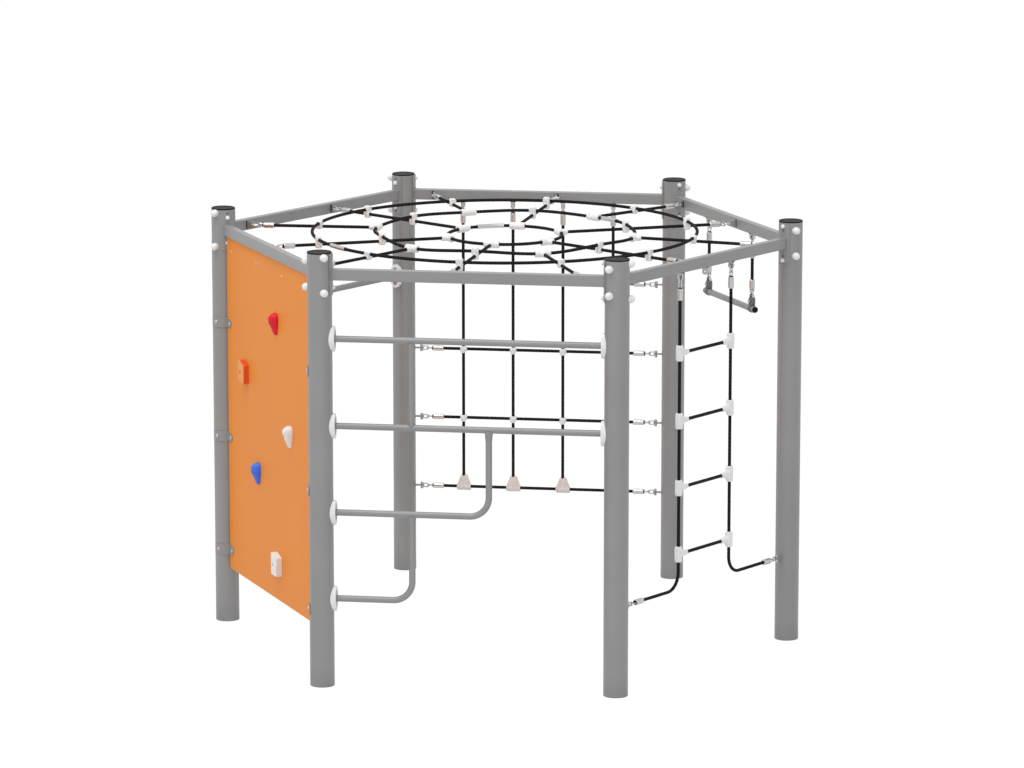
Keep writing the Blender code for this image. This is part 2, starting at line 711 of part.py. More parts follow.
# Side 4: trapeze, which swings about its hanger pins and tilts about its clevis pins
def make_trapeze(rope, steel, black):
    hangers = empty("trapeze_hangers", shift(MIDDLE, 0, TRAPEZE_PIN), SIDE_EMPTIES[4])
    clevises = empty("trapeze_clevises", shift(0, 0, CLEVIS_PIN - TRAPEZE_PIN), hangers)
    drop = TRAPEZE_PIN - CLEVIS_PIN
    for name, x in (("left", -TRAPEZE_HALF), ("right", TRAPEZE_HALF)):
        top = aimed((x, 0, 0), DOWN, ALONG)
        foot = aimed((x, 0, -drop), UP, ALONG)
        low = TRAPEZE_FORK + TRAPEZE_FERRULE / 2
        high = drop - CLEVIS_FORK - TRAPEZE_FERRULE / 2
        joined = [straight_rope(top, low, high)]
        joined += rope_end(top, TRAPEZE_FORK, TRAPEZE_FERRULE)
        joined += rope_end(foot, CLEVIS_FORK, TRAPEZE_FERRULE)
        smooth(assemble(f"trapeze_rope_{name}", hangers, rope, joined))
    axis = shift(0, 0, TRAPEZE_BAR - CLEVIS_PIN) @ ALONG_X
    half = TRAPEZE_BAR_HALF
    bore = BAR_R - TRAPEZE_WALL
    joined = [rod(BAR_R, -half, half, BAR_SIDES, axis)]
    cuts = [rod(bore, -half - SINK, half + SINK, BAR_SIDES, axis)]
    for x in (-TRAPEZE_HALF, TRAPEZE_HALF):
        height = CLEVIS_TOP - TRAPEZE_BAR
        middle = (CLEVIS_TOP + TRAPEZE_BAR) / 2 - CLEVIS_PIN
        joined.append(box((CLEVIS_W, CLEVIS_D, height), (x, 0, middle)))
        pin = aimed((x, 0, 0), UP, ALONG)
        joined.append(lug(pin, CLEVIS_PIN - CLEVIS_TOP + SINK))
        cuts.append(lug_hole(pin))
    smooth(assemble("trapeze_bar", clevises, steel, joined, cuts))
    for name, turn in (("left", -1), ("right", 1)):
        place = axis @ Matrix.Diagonal((1, 1, turn, 1))
        head = rod(BAR_R, half + GAP, half + END_CAP_T, BAR_SIDES, place)
        fit = bore - GAP / math.cos(math.pi / BAR_SIDES)
        plug = rod(fit, half - END_CAP_DEPTH, half + SINK, BAR_SIDES, place)
        smooth(assemble(f"trapeze_cap_{name}", clevises, black, [head, plug]))


# Side 5: rope net
def make_net(rope):
    joined = []
    ends = []
    bottom = NET_ROWS[-1]
    for x in NET_ROPES:
        top = hanging(MIDDLE + x, NET_PIN, INWARD, NET_OFFSET)
        joined.append(straight_rope(top, NET_FORK + FERRULE / 2, NET_PIN - bottom))
        ends += rope_end(top, NET_FORK)
    for z in NET_ROWS:
        left = aimed((POST_PIN, -NET_OFFSET, z), ALONG, UP)
        right = FACING_BACK @ aimed((POST_PIN, NET_OFFSET, z), ALONG, UP)
        start = POST_FORK + FERRULE / 2
        joined.append(straight_rope(left, start, SIDE - 2 * POST_PIN - start))
        ends += rope_end(left, POST_FORK) + rope_end(right, POST_FORK)
    for x in NET_ROPES:
        for z in NET_ROWS[:-1]:
            joined.append(cross(aimed((MIDDLE + x, NET_OFFSET, z), DOWN, -INWARD), 2 * NET_OFFSET))
        level = shift(MIDDLE + x, 0, bottom) @ ALONG_X
        joined.append(rod(NET_TEE_R, -NET_TEE / 2, NET_TEE / 2, BARREL_SIDES, level))
        stub = shift(MIDDLE + x, 0, bottom)
        joined.append(rod(NET_TEE_BASE_R, 0, NET_TEE_RISE, BARREL_SIDES, stub, end_radius=NET_TEE_TOP_R))
    smooth(assemble("rope_net", SIDE_EMPTIES[5], rope, joined + ends))


def cross(place, offset):
    """Moulded block round two crossing ropes, one along X and the other along Y, `offset` up Z from it."""
    outline = rounded(CROSS_W, CROSS_W, CROSS_CORNER, 1)
    return prism(outline, -CROSS_W / 2, offset + CROSS_W / 2, place)


# The spiderweb
def ring_point(ring, radius, angle):
    """The outer and inner rings are round and level. The short radials pull the middle one out and down."""
    pull = (1 - math.cos(math.radians(SIDES * (angle - LONG_ANGLE)))) / 2 if ring == "middle" else 0
    rise = 0 if ring == "inner" else RING_RISE
    reach = radius + RING_PULL * pull
    turn = math.radians(angle)
    return Vector((reach * math.cos(turn), reach * math.sin(turn), BEAM_Z + rise - RING_DIP * pull))


def ring_rope(ring, radius, steps):
    return tube([ring_point(ring, radius, 360 * i / steps) for i in range(steps)], ROPE_R, closed=True)


def sleeve(ring, radius, span, steps):
    """Long ferrule that closes a ring."""
    first, last = span
    angles = [first + (last - first) * i / steps for i in range(steps + 1)]
    return tube([ring_point(ring, radius, angle) for angle in angles], SLEEVE_R, resolution=2)


def radial_angle(k, anchor):
    """Direction of a radial of side k, seen from the middle."""
    start = side_frame(k) @ Vector((anchor, 0, 0))
    return math.degrees(math.atan2(start.y, start.x)) % 360


LONG_ANGLE = radial_angle(1, LONG_ANCHOR)


def radial_frame(k, anchor, ring, radius):
    """Pin frame of a radial in the world, aimed at its ring, and the length from the pin to the ring."""
    pin = side_frame(k) @ web_anchor(anchor).translation
    end = ring_point(ring, radius, radial_angle(k, anchor))
    return aimed(pin, end - pin, UP), (end - pin).length


def radial(k, anchor, ring, radius):
    """A radial rope, its jaw and ferrule, and its T connector on the ring."""
    place, length = radial_frame(k, anchor, ring, radius)
    tee = place @ shift(length, 0, 0)
    turned = tee @ Matrix.Rotation(math.pi / 2, 4, "Z") @ ALONG_X
    return [
        straight_rope(place, WEB_FORK + FERRULE / 2, length),
        *rope_end(place, WEB_FORK),
        rod(BARREL_R, -TEE_BARREL / 2, TEE_BARREL / 2, BARREL_SIDES, turned),
        rod(TEE_STUB_R, -TEE_STUB, 0, BARREL_SIDES, tee @ ALONG_X),
    ]


def crossing(k, anchor, own_ring, own_radius, ring, radius):
    """Cross connector of a ring over a radial, and the bore that the radial runs through."""
    place, length = radial_frame(k, anchor, own_ring, own_radius)
    pin = place.translation
    over = ring_point(ring, radius, radial_angle(k, anchor))
    end = place @ Vector((length, 0, 0))
    share = (pin - over).xy.length / (pin - end).xy.length
    middle = place @ shift(length * share, 0, 0)
    rise = over.z - middle.translation.z
    bore = rod(snug(ROPE_R, ROPE_SIDES), -CROSS_W, CROSS_W, ROPE_SIDES, middle @ ALONG_X)
    return cross(middle, rise), bore


def make_web(rope):
    outer = [ring_rope("outer", OUTER_RING_R, OUTER_RING_STEPS)]
    outer.append(sleeve("outer", OUTER_RING_R, OUTER_SLEEVE, 1))
    middle = [ring_rope("middle", MIDDLE_RING_R, MIDDLE_RING_STEPS)]
    middle.append(sleeve("middle", MIDDLE_RING_R, MIDDLE_SLEEVE, 1))
    inner = [ring_rope("inner", INNER_RING_R, INNER_RING_STEPS)]
    inner.append(sleeve("inner", INNER_RING_R, INNER_SLEEVE, 4))
    outer_bores = []
    middle_bores = []
    for k in range(1, SIDES + 1):
        inner += radial(k, LONG_ANCHOR, "inner", INNER_RING_R)
        middle += radial(k, SHORT_ANCHOR, "middle", MIDDLE_RING_R)
        over_long, long_bore = crossing(k, LONG_ANCHOR, "inner", INNER_RING_R, "outer", OUTER_RING_R)
        over_short, short_bore = crossing(k, SHORT_ANCHOR, "middle", MIDDLE_RING_R, "outer", OUTER_RING_R)
        under_middle, middle_bore = crossing(k, LONG_ANCHOR, "inner", INNER_RING_R, "middle", MIDDLE_RING_R)
        outer += [over_long, over_short]
        outer_bores += [long_bore, short_bore]
        middle.append(under_middle)
        middle_bores.append(middle_bore)
    smooth(assemble("web_outer_ring", None, rope, outer, outer_bores))
    smooth(assemble("web_middle_ring", None, rope, middle, middle_bores))
    smooth(assemble("web_inner_ring", None, rope, inner))


clear_scene()
PARTS = new_collection("Spiderweb climbing net", bpy.context.scene.collection)
GUIDES = new_collection("Cutters and guides", bpy.context.scene.collection)
SIDE_EMPTIES = {k: empty(f"side {k}", side_frame(k)) for k in range(1, SIDES + 1)}

painted_steel = material("painted steel", (143, 143, 143), 0.35, 0.2)
black_plastic = material("black plastic", (35, 33, 34), 0.5)
white_plastic = material("white plastic", (235, 235, 235), 0.35)
panel_orange = material("orange panel", (232, 147, 80), 0.5)
hold_red = material("red resin", (214, 60, 60), 0.45)
hold_coral = material("coral resin", (226, 90, 62), 0.45)
hold_blue = material("blue resin", (60, 110, 190), 0.45)
black_rope = material("black rope", (35, 31, 32), 0.8)

make_posts(painted_steel)
make_post_caps(black_plastic)
make_beams(painted_steel)
make_panel(panel_orange)
make_brackets(painted_steel)
make_holds(hold_red, hold_coral, white_plastic, hold_blue)
make_stepped_bars(painted_steel, white_plastic)
make_ladder(black_rope, black_plastic)
make_trapeze(black_rope, painted_steel, black_plastic)
make_net(black_rope)
make_pull_up_bar(painted_steel, white_plastic)
make_web(black_rope)
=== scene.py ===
"""A hexagonal climbing frame.

Six steel posts and six beams carry a rope spiderweb, and each side has a climbing element of its own.
"""

import math

import bmesh
import bpy
from mathutils import Matrix, Vector


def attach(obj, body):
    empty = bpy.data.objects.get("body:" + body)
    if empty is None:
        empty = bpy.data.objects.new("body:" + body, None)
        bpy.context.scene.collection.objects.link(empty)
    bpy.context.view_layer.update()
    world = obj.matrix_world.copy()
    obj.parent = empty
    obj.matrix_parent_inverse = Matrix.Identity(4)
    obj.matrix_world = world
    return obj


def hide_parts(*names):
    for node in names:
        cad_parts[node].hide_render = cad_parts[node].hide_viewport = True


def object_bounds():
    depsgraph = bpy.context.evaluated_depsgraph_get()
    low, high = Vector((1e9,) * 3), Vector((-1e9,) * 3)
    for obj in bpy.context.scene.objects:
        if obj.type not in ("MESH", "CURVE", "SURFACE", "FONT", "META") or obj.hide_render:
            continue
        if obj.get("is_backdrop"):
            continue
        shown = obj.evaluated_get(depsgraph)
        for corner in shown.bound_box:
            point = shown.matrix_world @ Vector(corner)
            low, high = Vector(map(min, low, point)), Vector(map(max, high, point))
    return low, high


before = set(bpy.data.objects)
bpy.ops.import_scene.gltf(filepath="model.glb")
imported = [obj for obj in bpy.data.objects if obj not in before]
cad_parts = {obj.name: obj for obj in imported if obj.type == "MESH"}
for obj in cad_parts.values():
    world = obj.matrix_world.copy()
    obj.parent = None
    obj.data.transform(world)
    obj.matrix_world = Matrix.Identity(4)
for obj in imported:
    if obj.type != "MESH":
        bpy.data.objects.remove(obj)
cad_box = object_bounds()
scene = bpy.context.scene

# The camera
# It stands 26 m away and 4 m above the posts' tops, and looks at the stepped bars' side with a long lens.
lens = bpy.data.cameras.new("camera")
lens.sensor_width = 36
lens.lens = 173.235
lens.clip_end = 200
camera = bpy.data.objects.new("camera", lens)
camera.location = (3.6753, -25.6205, 6.4724)
camera.rotation_euler = (math.radians(90 - 11.2025), 0, math.radians(8.0778))
scene.collection.objects.link(camera)
scene.camera = camera
scene.view_settings.view_transform = "Standard"


# The studio
# A plain white floor that runs on into a white surround. The surround lights the frame evenly, with one
# large soft lamp from the upper left and a weak one from the front. The floor keeps a faint shadow.
class Wire:
    """A socket of a material's nodes. Sums of wires add the Math nodes that work them out."""

    def __init__(self, tree, socket=None):
        self.tree = tree
        self.socket = socket

    def node(self, kind, inputs, output=0, stops=(), **settings):
        """Any node: its settings first, then the values or wires of its sockets."""
        made = self.tree.nodes.new("ShaderNode" + kind)
        for name, value in settings.items():
            setattr(made, name, value)
        for number, (place, colour) in enumerate(stops):
            ramp = made.color_ramp.elements
            stop = ramp[number] if number < 2 else ramp.new(place)
            stop.position = place
            stop.color = (*colour, 1)
        for name, value in inputs.items():
            if isinstance(value, Wire):
                self.tree.links.new(value.socket, made.inputs[name])
            else:
                made.inputs[name].default_value = value
        return Wire(self.tree, made.outputs[output])

    def maths(self, operation, first, second):
        return self.node("Math", {0: first, 1: second}, operation=operation)

    def __add__(self, other):
        return self.maths("ADD", self, other)

    def __mul__(self, other):
        return self.maths("MULTIPLY", self, other)

    def __rsub__(self, other):
        return self.maths("SUBTRACT", other, self)

    __radd__ = __add__
    __rmul__ = __mul__


def seen_directly(start):
    """1 for the camera and for what metal and glass mirror, 0 for light that bounces about."""
    rays = start.node("LightPath", {}).socket.node
    names = ("Is Camera Ray", "Is Glossy Ray", "Is Transmission Ray")
    camera_ray, glossy, transmission = (Wire(start.tree, rays.outputs[name]) for name in names)
    return start.maths("MAXIMUM", camera_ray, start.maths("MAXIMUM", glossy, transmission))


world = bpy.data.worlds.new("surround")
world.use_nodes = True
scene.world = world
surround = Wire(world.node_tree)
direct = seen_directly(surround)
light_level = 0.80
world.node_tree.links.new(
    (direct * (1 - light_level) + light_level).socket, world.node_tree.nodes["Background"].inputs["Strength"]
)
world.node_tree.nodes["Background"].inputs["Color"].default_value = (1, 1, 1, 1)

bpy.ops.mesh.primitive_plane_add(size=400)
floor = bpy.context.object
floor.name = "studio_floor"
paint = bpy.data.materials.new("white floor")
paint.use_nodes = True
paint.node_tree.nodes.remove(paint.node_tree.nodes["Principled BSDF"])
sheet = Wire(paint.node_tree)
glow = sheet.node("Emission", {"Color": (1, 1, 1, 1), "Strength": 1.07})
matt = sheet.node("BsdfDiffuse", {"Color": (0.75, 0.75, 0.75, 1)})
shown = sheet.node("MixShader", {0: seen_directly(sheet) * 0.88, 1: matt, 2: glow})
paint.node_tree.links.new(shown.socket, paint.node_tree.nodes["Material Output"].inputs["Surface"])
floor.data.materials.append(paint)
floor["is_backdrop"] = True

for name, place, size, power in (
    ("key lamp", (-3.2, -4.2, 13.5), 6.0, 760.0),
    ("fill lamp", (2.0, -14.0, 5.0), 8.0, 110.0),
):
    lamp = bpy.data.lights.new(name, "AREA")
    lamp.energy = power
    lamp.size = size
    lamp_object = bpy.data.objects.new(name, lamp)
    lamp_object.location = place
    lamp_object.rotation_euler = (Vector((0, 0, 1.2)) - Vector(place)).to_track_quat("-Z", "Y").to_euler()
    scene.collection.objects.link(lamp_object)


# The posts
# Six round steel tubes, 127 mm across with a 4 mm wall, cut square at both ends and powder-coated grey.
# Flat lugs for the rope ladder and the rope net are welded to four of them.
SIDE = 1.525
POST_R = 0.0635
POST_WALL = 0.004
# What lies on a post is curved to this radius.
POST_FIT = POST_R + 0.0004
POST_TOP = 2.263
POST_PIN = 0.098
LADDER_LOW = 0.457
NET_ROWS = (1.670, 1.276, 0.882, 0.484)
NET_OFFSET = 0.011
PIN_R = 0.0053
LUG_T = 0.006
LUG_R = 0.013
ALONG_X = Matrix(((0, 0, 1, 0), (1, 0, 0, 0), (0, 1, 0, 0), (0, 0, 0, 1)))
UP = Vector((0, 0, 1))
ALONG = Vector((1, 0, 0))


def shift(x, y, z):
    return Matrix.Translation((x, y, z))


def turn(degrees, axis="Z"):
    return Matrix.Rotation(math.radians(degrees), 4, axis)


def side_frame(k):
    """Frame of side k: X runs along the side from post k, Y points inwards."""
    angle = math.radians(120 + 60 * k)
    return shift(SIDE * math.cos(angle), SIDE * math.sin(angle), 0) @ turn(60 * k - 120)


def aimed(origin, toward, pin_axis):
    """Frame of a pin: X points along the rope, Z along the pin."""
    x = Vector(toward).normalized()
    z = (Vector(pin_axis) - x * x.dot(pin_axis)).normalized()
    made = Matrix((x, z.cross(x), z)).transposed().to_4x4()
    made.translation = origin
    return made


def linear(*channels):
    """A colour as it looks on a screen, as light."""
    return tuple((c / 255 / 12.92 if c <= 10 else ((c / 255 + 0.055) / 1.055) ** 2.4) for c in channels)


def finish(name, **settings):
    """A new material, its shader, a wire to begin its nodes with, and the place on the piece."""
    look = bpy.data.materials.new(name)
    look.use_nodes = True
    shader = look.node_tree.nodes["Principled BSDF"]
    for socket, value in settings.items():
        shader.inputs[socket.replace("_", " ").title().replace("Ior", "IOR")].default_value = value
    start = Wire(look.node_tree)
    return look, shader, start, start.node("TexCoord", {}, output=3)


def feed(shader, **sockets):
    for socket, wire in sockets.items():
        wire.tree.links.new(wire.socket, shader.inputs[socket.replace("_", " ").title()])


def noise(wire, place, scale, detail=2.0, roughness=0.5, stretch=(1, 1, 1)):
    """Noise from 0 to 1, `scale` waves a metre."""
    spread = wire.node("Mapping", {"Vector": place, "Scale": stretch})
    return wire.node("TexNoise", {"Vector": spread, "Scale": scale, "Detail": detail, "Roughness": roughness})


def between(wire, share, first, second):
    """From the first colour to the second."""
    return wire.node(
        "Mix", {0: share, "A": (*first, 1), "B": (*second, 1)}, output=2, data_type="RGBA", clamp_factor=True
    )


def over(wire, share, below, colour):
    """A second colour laid over a wire's by a share."""
    return wire.node("Mix", {0: share, "A": below, "B": (*colour, 1)}, 2, data_type="RGBA")


def bump(wire, height, depth, normal=None):
    """A bump that stands `depth` metres high where height is 1."""
    inputs = {"Height": height, "Distance": depth, "Strength": 1.0}
    if normal:
        inputs["Normal"] = normal
    return wire.node("Bump", inputs)


def clamped(wire, value, low, high):
    """0 where value is low, 1 where it is high."""
    return wire.node("MapRange", {"Value": value, "From Min": low, "From Max": high}, clamp=True)


powder_coat, shader, start, place = finish("grey powder coat", metallic=0.15, roughness=0.4)
height_up = start.node("SeparateXYZ", {"Vector": place}, output=2)
cloud = noise(start, place, 3.5, 4)
speck = noise(start, place, 420, 2)
peel = noise(start, place, 260, 1.5)
scuff = clamped(start, noise(start, place, 30, 6, 0.7, (1, 1, 0.25)), 0.66, 0.80)
splash = clamped(start, height_up + noise(start, place, 14, 4) * 0.12, 0.17, 0.02)
tone = clamped(start, cloud * 0.6 + speck * 0.4, 0.3, 0.7)
colour = between(start, tone, linear(137, 137, 137), linear(146, 146, 146))
colour = over(start, scuff * 0.25, colour, linear(170, 169, 167))
colour = over(start, splash * 0.35, colour, linear(112, 108, 103))
feed(
    shader,
    base_color=colour,
    roughness=0.36 + cloud * 0.08 + scuff * 0.12 + splash * 0.15,
    normal=bump(start, peel, 0.00006),
)


def added(operator, **settings):
    """A primitive, opened for editing with nothing else selected."""
    bpy.ops.object.select_all(action="DESELECT")
    operator(**settings)
    bpy.ops.object.mode_set(mode="EDIT")
    bpy.ops.mesh.select_all(action="SELECT")
    return bpy.context.object


def select(piece, kind, test):
    """Selects the faces, edges or vertices that pass the test, in edit mode."""
    bpy.ops.mesh.select_mode(type=kind)
    bpy.ops.mesh.select_all(action="DESELECT")
    mesh = bmesh.from_edit_mesh(piece.data)
    for item in {"FACE": mesh.faces, "EDGE": mesh.edges, "VERT": mesh.verts}[kind]:
        if test(item):
            item.select_set(True)
    bmesh.update_edit_mesh(piece.data)


def done(piece):
    """Leaves edit mode and puts the piece's place into its mesh."""
    bpy.ops.object.mode_set(mode="OBJECT")
    piece.data.transform(piece.matrix_world)
    piece.matrix_world = Matrix()
    return piece


def modify(piece, kind, **settings):
    """Adds a modifier and applies it."""
    modifier = piece.modifiers.new(kind, kind)
    for name, value in settings.items():
        setattr(modifier, name, value)
    bpy.context.view_layer.objects.active = piece
    bpy.ops.object.modifier_apply(modifier=modifier.name)
    return piece


def turned(profile, sides):
    """A solid of revolution about Z: a disc at the first radius and height, extruded from step to step."""
    radius, height = profile[0]
    piece = added(bpy.ops.mesh.primitive_circle_add, vertices=sides, radius=radius, fill_type="NGON")
    bpy.ops.transform.translate(value=(0, 0, height))
    for (r0, h0), (r1, h1) in zip(profile, profile[1:]):
        bpy.ops.mesh.extrude_region_move(TRANSFORM_OT_translate={"value": (0, 0, h1 - h0)})
        bpy.ops.transform.resize(value=(r1 / r0, r1 / r0, 1), center_override=(0, 0, h1))
    bpy.ops.mesh.select_all(action="SELECT")
    bpy.ops.mesh.normals_make_consistent(inside=False)
    return done(piece)


def copied(pattern, places):
    """The pattern at each place, every copy with its own mesh. The pattern itself goes."""
    made = []
    for spot in places:
        copy = bpy.data.objects.new(pattern.name, pattern.data.copy())
        copy.data.transform(spot)
        if spot.determinant() < 0:
            copy.data.flip_normals()
        scene.collection.objects.link(copy)
        made.append(copy)
    bpy.data.objects.remove(pattern)
    return made


def merged(pieces):
    """Several meshes as one, left selected and active."""
    bpy.ops.object.select_all(action="DESELECT")
    for piece in pieces:
        piece.select_set(True)
    bpy.context.view_layer.objects.active = pieces[0]
    if len(pieces) > 1:
        bpy.ops.object.join()
    return bpy.context.view_layer.objects.active


def opened(piece):
    """Opens a piece for editing, with all of it selected."""
    merged([piece])
    bpy.ops.object.mode_set(mode="EDIT")
    bpy.ops.mesh.select_all(action="SELECT")
    return piece


def joined(name, pieces, look, slot, body="frame", replaces=(), sharp=35):
    """Joins what was modelled into one finished piece, which rides on its body."""
    piece = merged(pieces)
    piece.name = name
    piece.data.name = name
    piece.data.materials.clear()
    piece.data.materials.append(look)
    bpy.ops.object.shade_smooth_by_angle(angle=math.radians(sharp))
    if len(piece.data.polygons) < 20000:
        modify(piece, "WEIGHTED_NORMAL", keep_sharp=True)
    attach(piece, body)
    if replaces:
        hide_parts(*replaces)
    return piece


def plate(outline, thickness, holes=(), edge=0.0006):
    """A flat plate about the XY plane, cut to an outline, drilled, and with its edges broken."""
    mesh = bpy.data.meshes.new("plate")
    mesh.from_pydata([(x, y, -thickness / 2) for x, y in outline], [], [range(len(outline))])
    piece = bpy.data.objects.new("plate", mesh)
    scene.collection.objects.link(piece)
    opened(piece)
    bpy.ops.mesh.extrude_region_move(TRANSFORM_OT_translate={"value": (0, 0, thickness)})
    bpy.ops.mesh.select_all(action="SELECT")
    bpy.ops.mesh.normals_make_consistent(inside=False)
    done(piece)
    for x, y, radius in holes:
        bored(piece, shift(x, y, 0), radius, thickness)
    return modify(piece, "BEVEL", width=edge, segments=2, limit_method="ANGLE", angle_limit=math.radians(50))


def bored(piece, spot, radius, length, sides=20):
    """Drills a hole along Z of a frame."""
    drill = added(bpy.ops.mesh.primitive_cylinder_add, vertices=sides, radius=radius, depth=2 * length)
    done(drill).data.transform(spot)
    modify(piece, "BOOLEAN", object=drill, operation="DIFFERENCE", solver="EXACT")
    bpy.data.objects.remove(drill)
    return piece


def arc(centre, radius, first, last, steps):
    angles = [math.radians(first + (last - first) * i / steps) for i in range(steps + 1)]
    return [(centre[0] + radius * math.cos(a), centre[1] + radius * math.sin(a)) for a in angles]


def lug(reach, radius=LUG_R):
    """Lug plate about its pin. What it is welded to lies behind it, at -reach."""
    outline = arc((0, 0), radius, -90, 90, 12) + [(-reach, radius), (-reach, -radius)]
    return plate(outline, LUG_T, [(0, 0, PIN_R)])


def tube_along(route, radius, closed=False, sides=12):
    """A round bar, a wire or a weld bead along a route, as a mesh."""
    line = bpy.data.curves.new("route", "CURVE")
    line.dimensions = "3D"
    line.bevel_depth = radius
    line.bevel_resolution = sides // 2 - 2
    line.use_fill_caps = not closed
    spline = line.splines.new("POLY")
    spline.points.add(len(route) - 1)
    for point, spot in zip(spline.points, route):
        point.co = (*spot, 1)
    spline.use_cyclic_u = closed
    piece = bpy.data.objects.new("route", line)
    scene.collection.objects.link(piece)
    merged([piece])
    bpy.ops.object.convert(target="MESH")
    piece = opened(bpy.context.object)
    bpy.ops.mesh.remove_doubles(threshold=0.00001)
    bpy.ops.mesh.normals_make_consistent(inside=False)
    return done(piece)


def rounded(width, height, corner, steps=4):
    """Outline of a rectangle with round corners, about its middle."""
    outline = []
    for first, sx, sy in ((0, 1, 1), (90, -1, 1), (180, -1, -1), (270, 1, -1)):
        centre = (sx * (width / 2 - corner), sy * (height / 2 - corner))
        outline += arc(centre, corner, first, first + 90, steps)
    return outline


# The angle, height and offset of each post's lugs.
post_lugs = {
    3: ((0, LADDER_LOW, 0),),
    4: ((120, LADDER_LOW, 0),),
    5: tuple((0, z, -NET_OFFSET) for z in NET_ROWS),
    6: tuple((120, z, NET_OFFSET) for z in NET_ROWS),
}
for k in range(1, 7):
    tube = added(bpy.ops.mesh.primitive_cylinder_add, vertices=72, radius=POST_R, depth=POST_TOP)
    bpy.ops.transform.translate(value=(0, 0, POST_TOP / 2))
    select(tube, "FACE", lambda face: abs(face.normal.z) > 0.9)
    bpy.ops.mesh.inset(thickness=POST_WALL, use_individual=True)
    # The bore is sunk only as far as it shows below and as the cap's plug needs above.
    select(tube, "FACE", lambda face: face.normal.z < -0.9 and len(face.verts) > 4)
    bpy.ops.mesh.extrude_region_move(TRANSFORM_OT_translate={"value": (0, 0, 0.060)})
    select(tube, "FACE", lambda face: face.normal.z > 0.9 and len(face.verts) > 4)
    bpy.ops.mesh.extrude_region_move(TRANSFORM_OT_translate={"value": (0, 0, -0.030)})
    select(
        tube,
        "EDGE",
        lambda edge: all(abs(v.co.xy.length - POST_R) < 1e-5 for v in edge.verts)
        and abs(edge.verts[0].co.z - edge.verts[1].co.z) < 1e-6,
    )
    bpy.ops.mesh.bevel(offset=0.0008, segments=2)
    pieces = copied(done(tube), [side_frame(k)])
    for angle, z, offset in post_lugs.get(k, ()):
        spot = turn(angle) @ aimed((POST_PIN, offset, z), ALONG, UP)
        pieces += copied(lug(POST_PIN - POST_R + 0.007), [side_frame(k) @ spot])
        weld = []
        for y, up in rounded(2 * LUG_R + 0.002, LUG_T + 0.002, 0.003):
            weld.append((math.sqrt(POST_R**2 - (offset + y) ** 2) + 0.0004, offset + y, z + up))
        pieces += copied(tube_along(weld, 0.0018, closed=True, sides=8), [side_frame(k) @ turn(angle)])
    joined(f"post_tube_{k}", pieces, powder_coat, "painted_steel", replaces=[f"post_{k}"])

# The post caps
# Black plastic plugs pressed into the posts' ends. Each has a raised rim and a shallow dish with a small
# moulding mark in its middle.
black_plastic, shader, start, place = finish("black plastic", specular_ior_level=0.08)
grain = noise(start, place, 900, 2)
cloud = noise(start, place, 25, 4)
feed(
    shader,
    base_color=between(start, cloud, linear(22, 21, 22), linear(33, 32, 33)),
    roughness=0.42 + cloud * 0.2,
    normal=bump(start, grain, 0.00005),
)
CAP_RISE = 0.0072
cap_top = POST_TOP + CAP_RISE
rim = POST_R - 0.0004
cap = turned(
    [
        (POST_R - POST_WALL - 0.0003, POST_TOP - 0.028),
        (POST_R - POST_WALL - 0.0003, POST_TOP + 0.0002),
        (rim, POST_TOP + 0.0003),
        (rim, cap_top - 0.0012),
        (rim - 0.0008, cap_top - 0.0003),
        (rim - 0.0020, cap_top),
        (rim - 0.0055, cap_top),
        (rim - 0.0068, cap_top - 0.0008),
        (rim - 0.0075, cap_top - 0.0020),
        (0.0095, cap_top - 0.0022),
        (0.0090, cap_top - 0.0027),
        (0.0005, cap_top - 0.0027),
    ],
    72,
)
for k, piece in enumerate(copied(cap, [side_frame(k) for k in range(1, 7)]), 1):
    joined(f"cap_{k}", [piece], black_plastic, "black_plastic", replaces=[f"post_cap_{k}"])

# The beams
# Rectangular 60 x 40 mm steel tube with rounded corners. A curved saddle plate is welded to each end, and
# four tabs for the panel are welded under the first beam.
MIDDLE = SIDE / 2
BEAM_Z = 2.155
BEAM_H = 0.060
BEAM_W = 0.040
SADDLE_T = 0.005
SADDLE_H = 0.214
SADDLE_R = POST_FIT + SADDLE_T / 2
SADDLE_FACE = SADDLE_R + SADDLE_T / 2
NEAR_BOLT = 0.068
FAR_BOLT = 0.0905
TABS = [MIDDLE + share * 0.611 for share in (-1, -1 / 3, 1 / 3, 1)]
TAB_Y = 0.0108
TAB_T = 0.006
TAB_DROP = 0.076
TAB_HOLE = 0.103
IN_PLANE = Matrix(((1, 0, 0, 0), (0, 0, -1, 0), (0, 1, 0, 0), (0, 0, 0, 1)))
FAR_POST = shift(SIDE, 0, 0) @ turn(180)


def folded(piece, route):
    """Bends a flat plate so that its X follows a route seen from above and its Y stands up."""
    route = [Vector(point) for point in route]
    marks = [0.0]
    for a, b in zip(route, route[1:]):
        marks.append(marks[-1] + (b - a).length)
    half = marks[-1] / 2
    opened(piece)
    for mark in marks[1:-1]:
        bpy.ops.mesh.select_all(action="SELECT")
        bpy.ops.mesh.bisect(plane_co=(mark - half, 0, 0), plane_no=(1, 0, 0))
    bpy.ops.object.mode_set(mode="OBJECT")
    sides = []
    for a, b in zip(route, route[1:]):
        run = (b - a).normalized()
        sides.append(Vector((run.y, -run.x)))
    mitres = [sides[0]]
    for a, b in zip(sides, sides[1:]):
        mitres.append((a + b) / (1 + a.dot(b)))
    mitres.append(sides[-1])
    for vert in piece.data.vertices:
        x, y, z = vert.co
        i = max(0, min(len(sides) - 1, sum(mark <= x + half + 1e-7 for mark in marks) - 1))
        share = (x + half - marks[i]) / (marks[i + 1] - marks[i])
        spot = route[i].lerp(route[i + 1], share) + mitres[i].lerp(mitres[i + 1], share) * z
        vert.co = (spot.x, spot.y, y)
    return piece


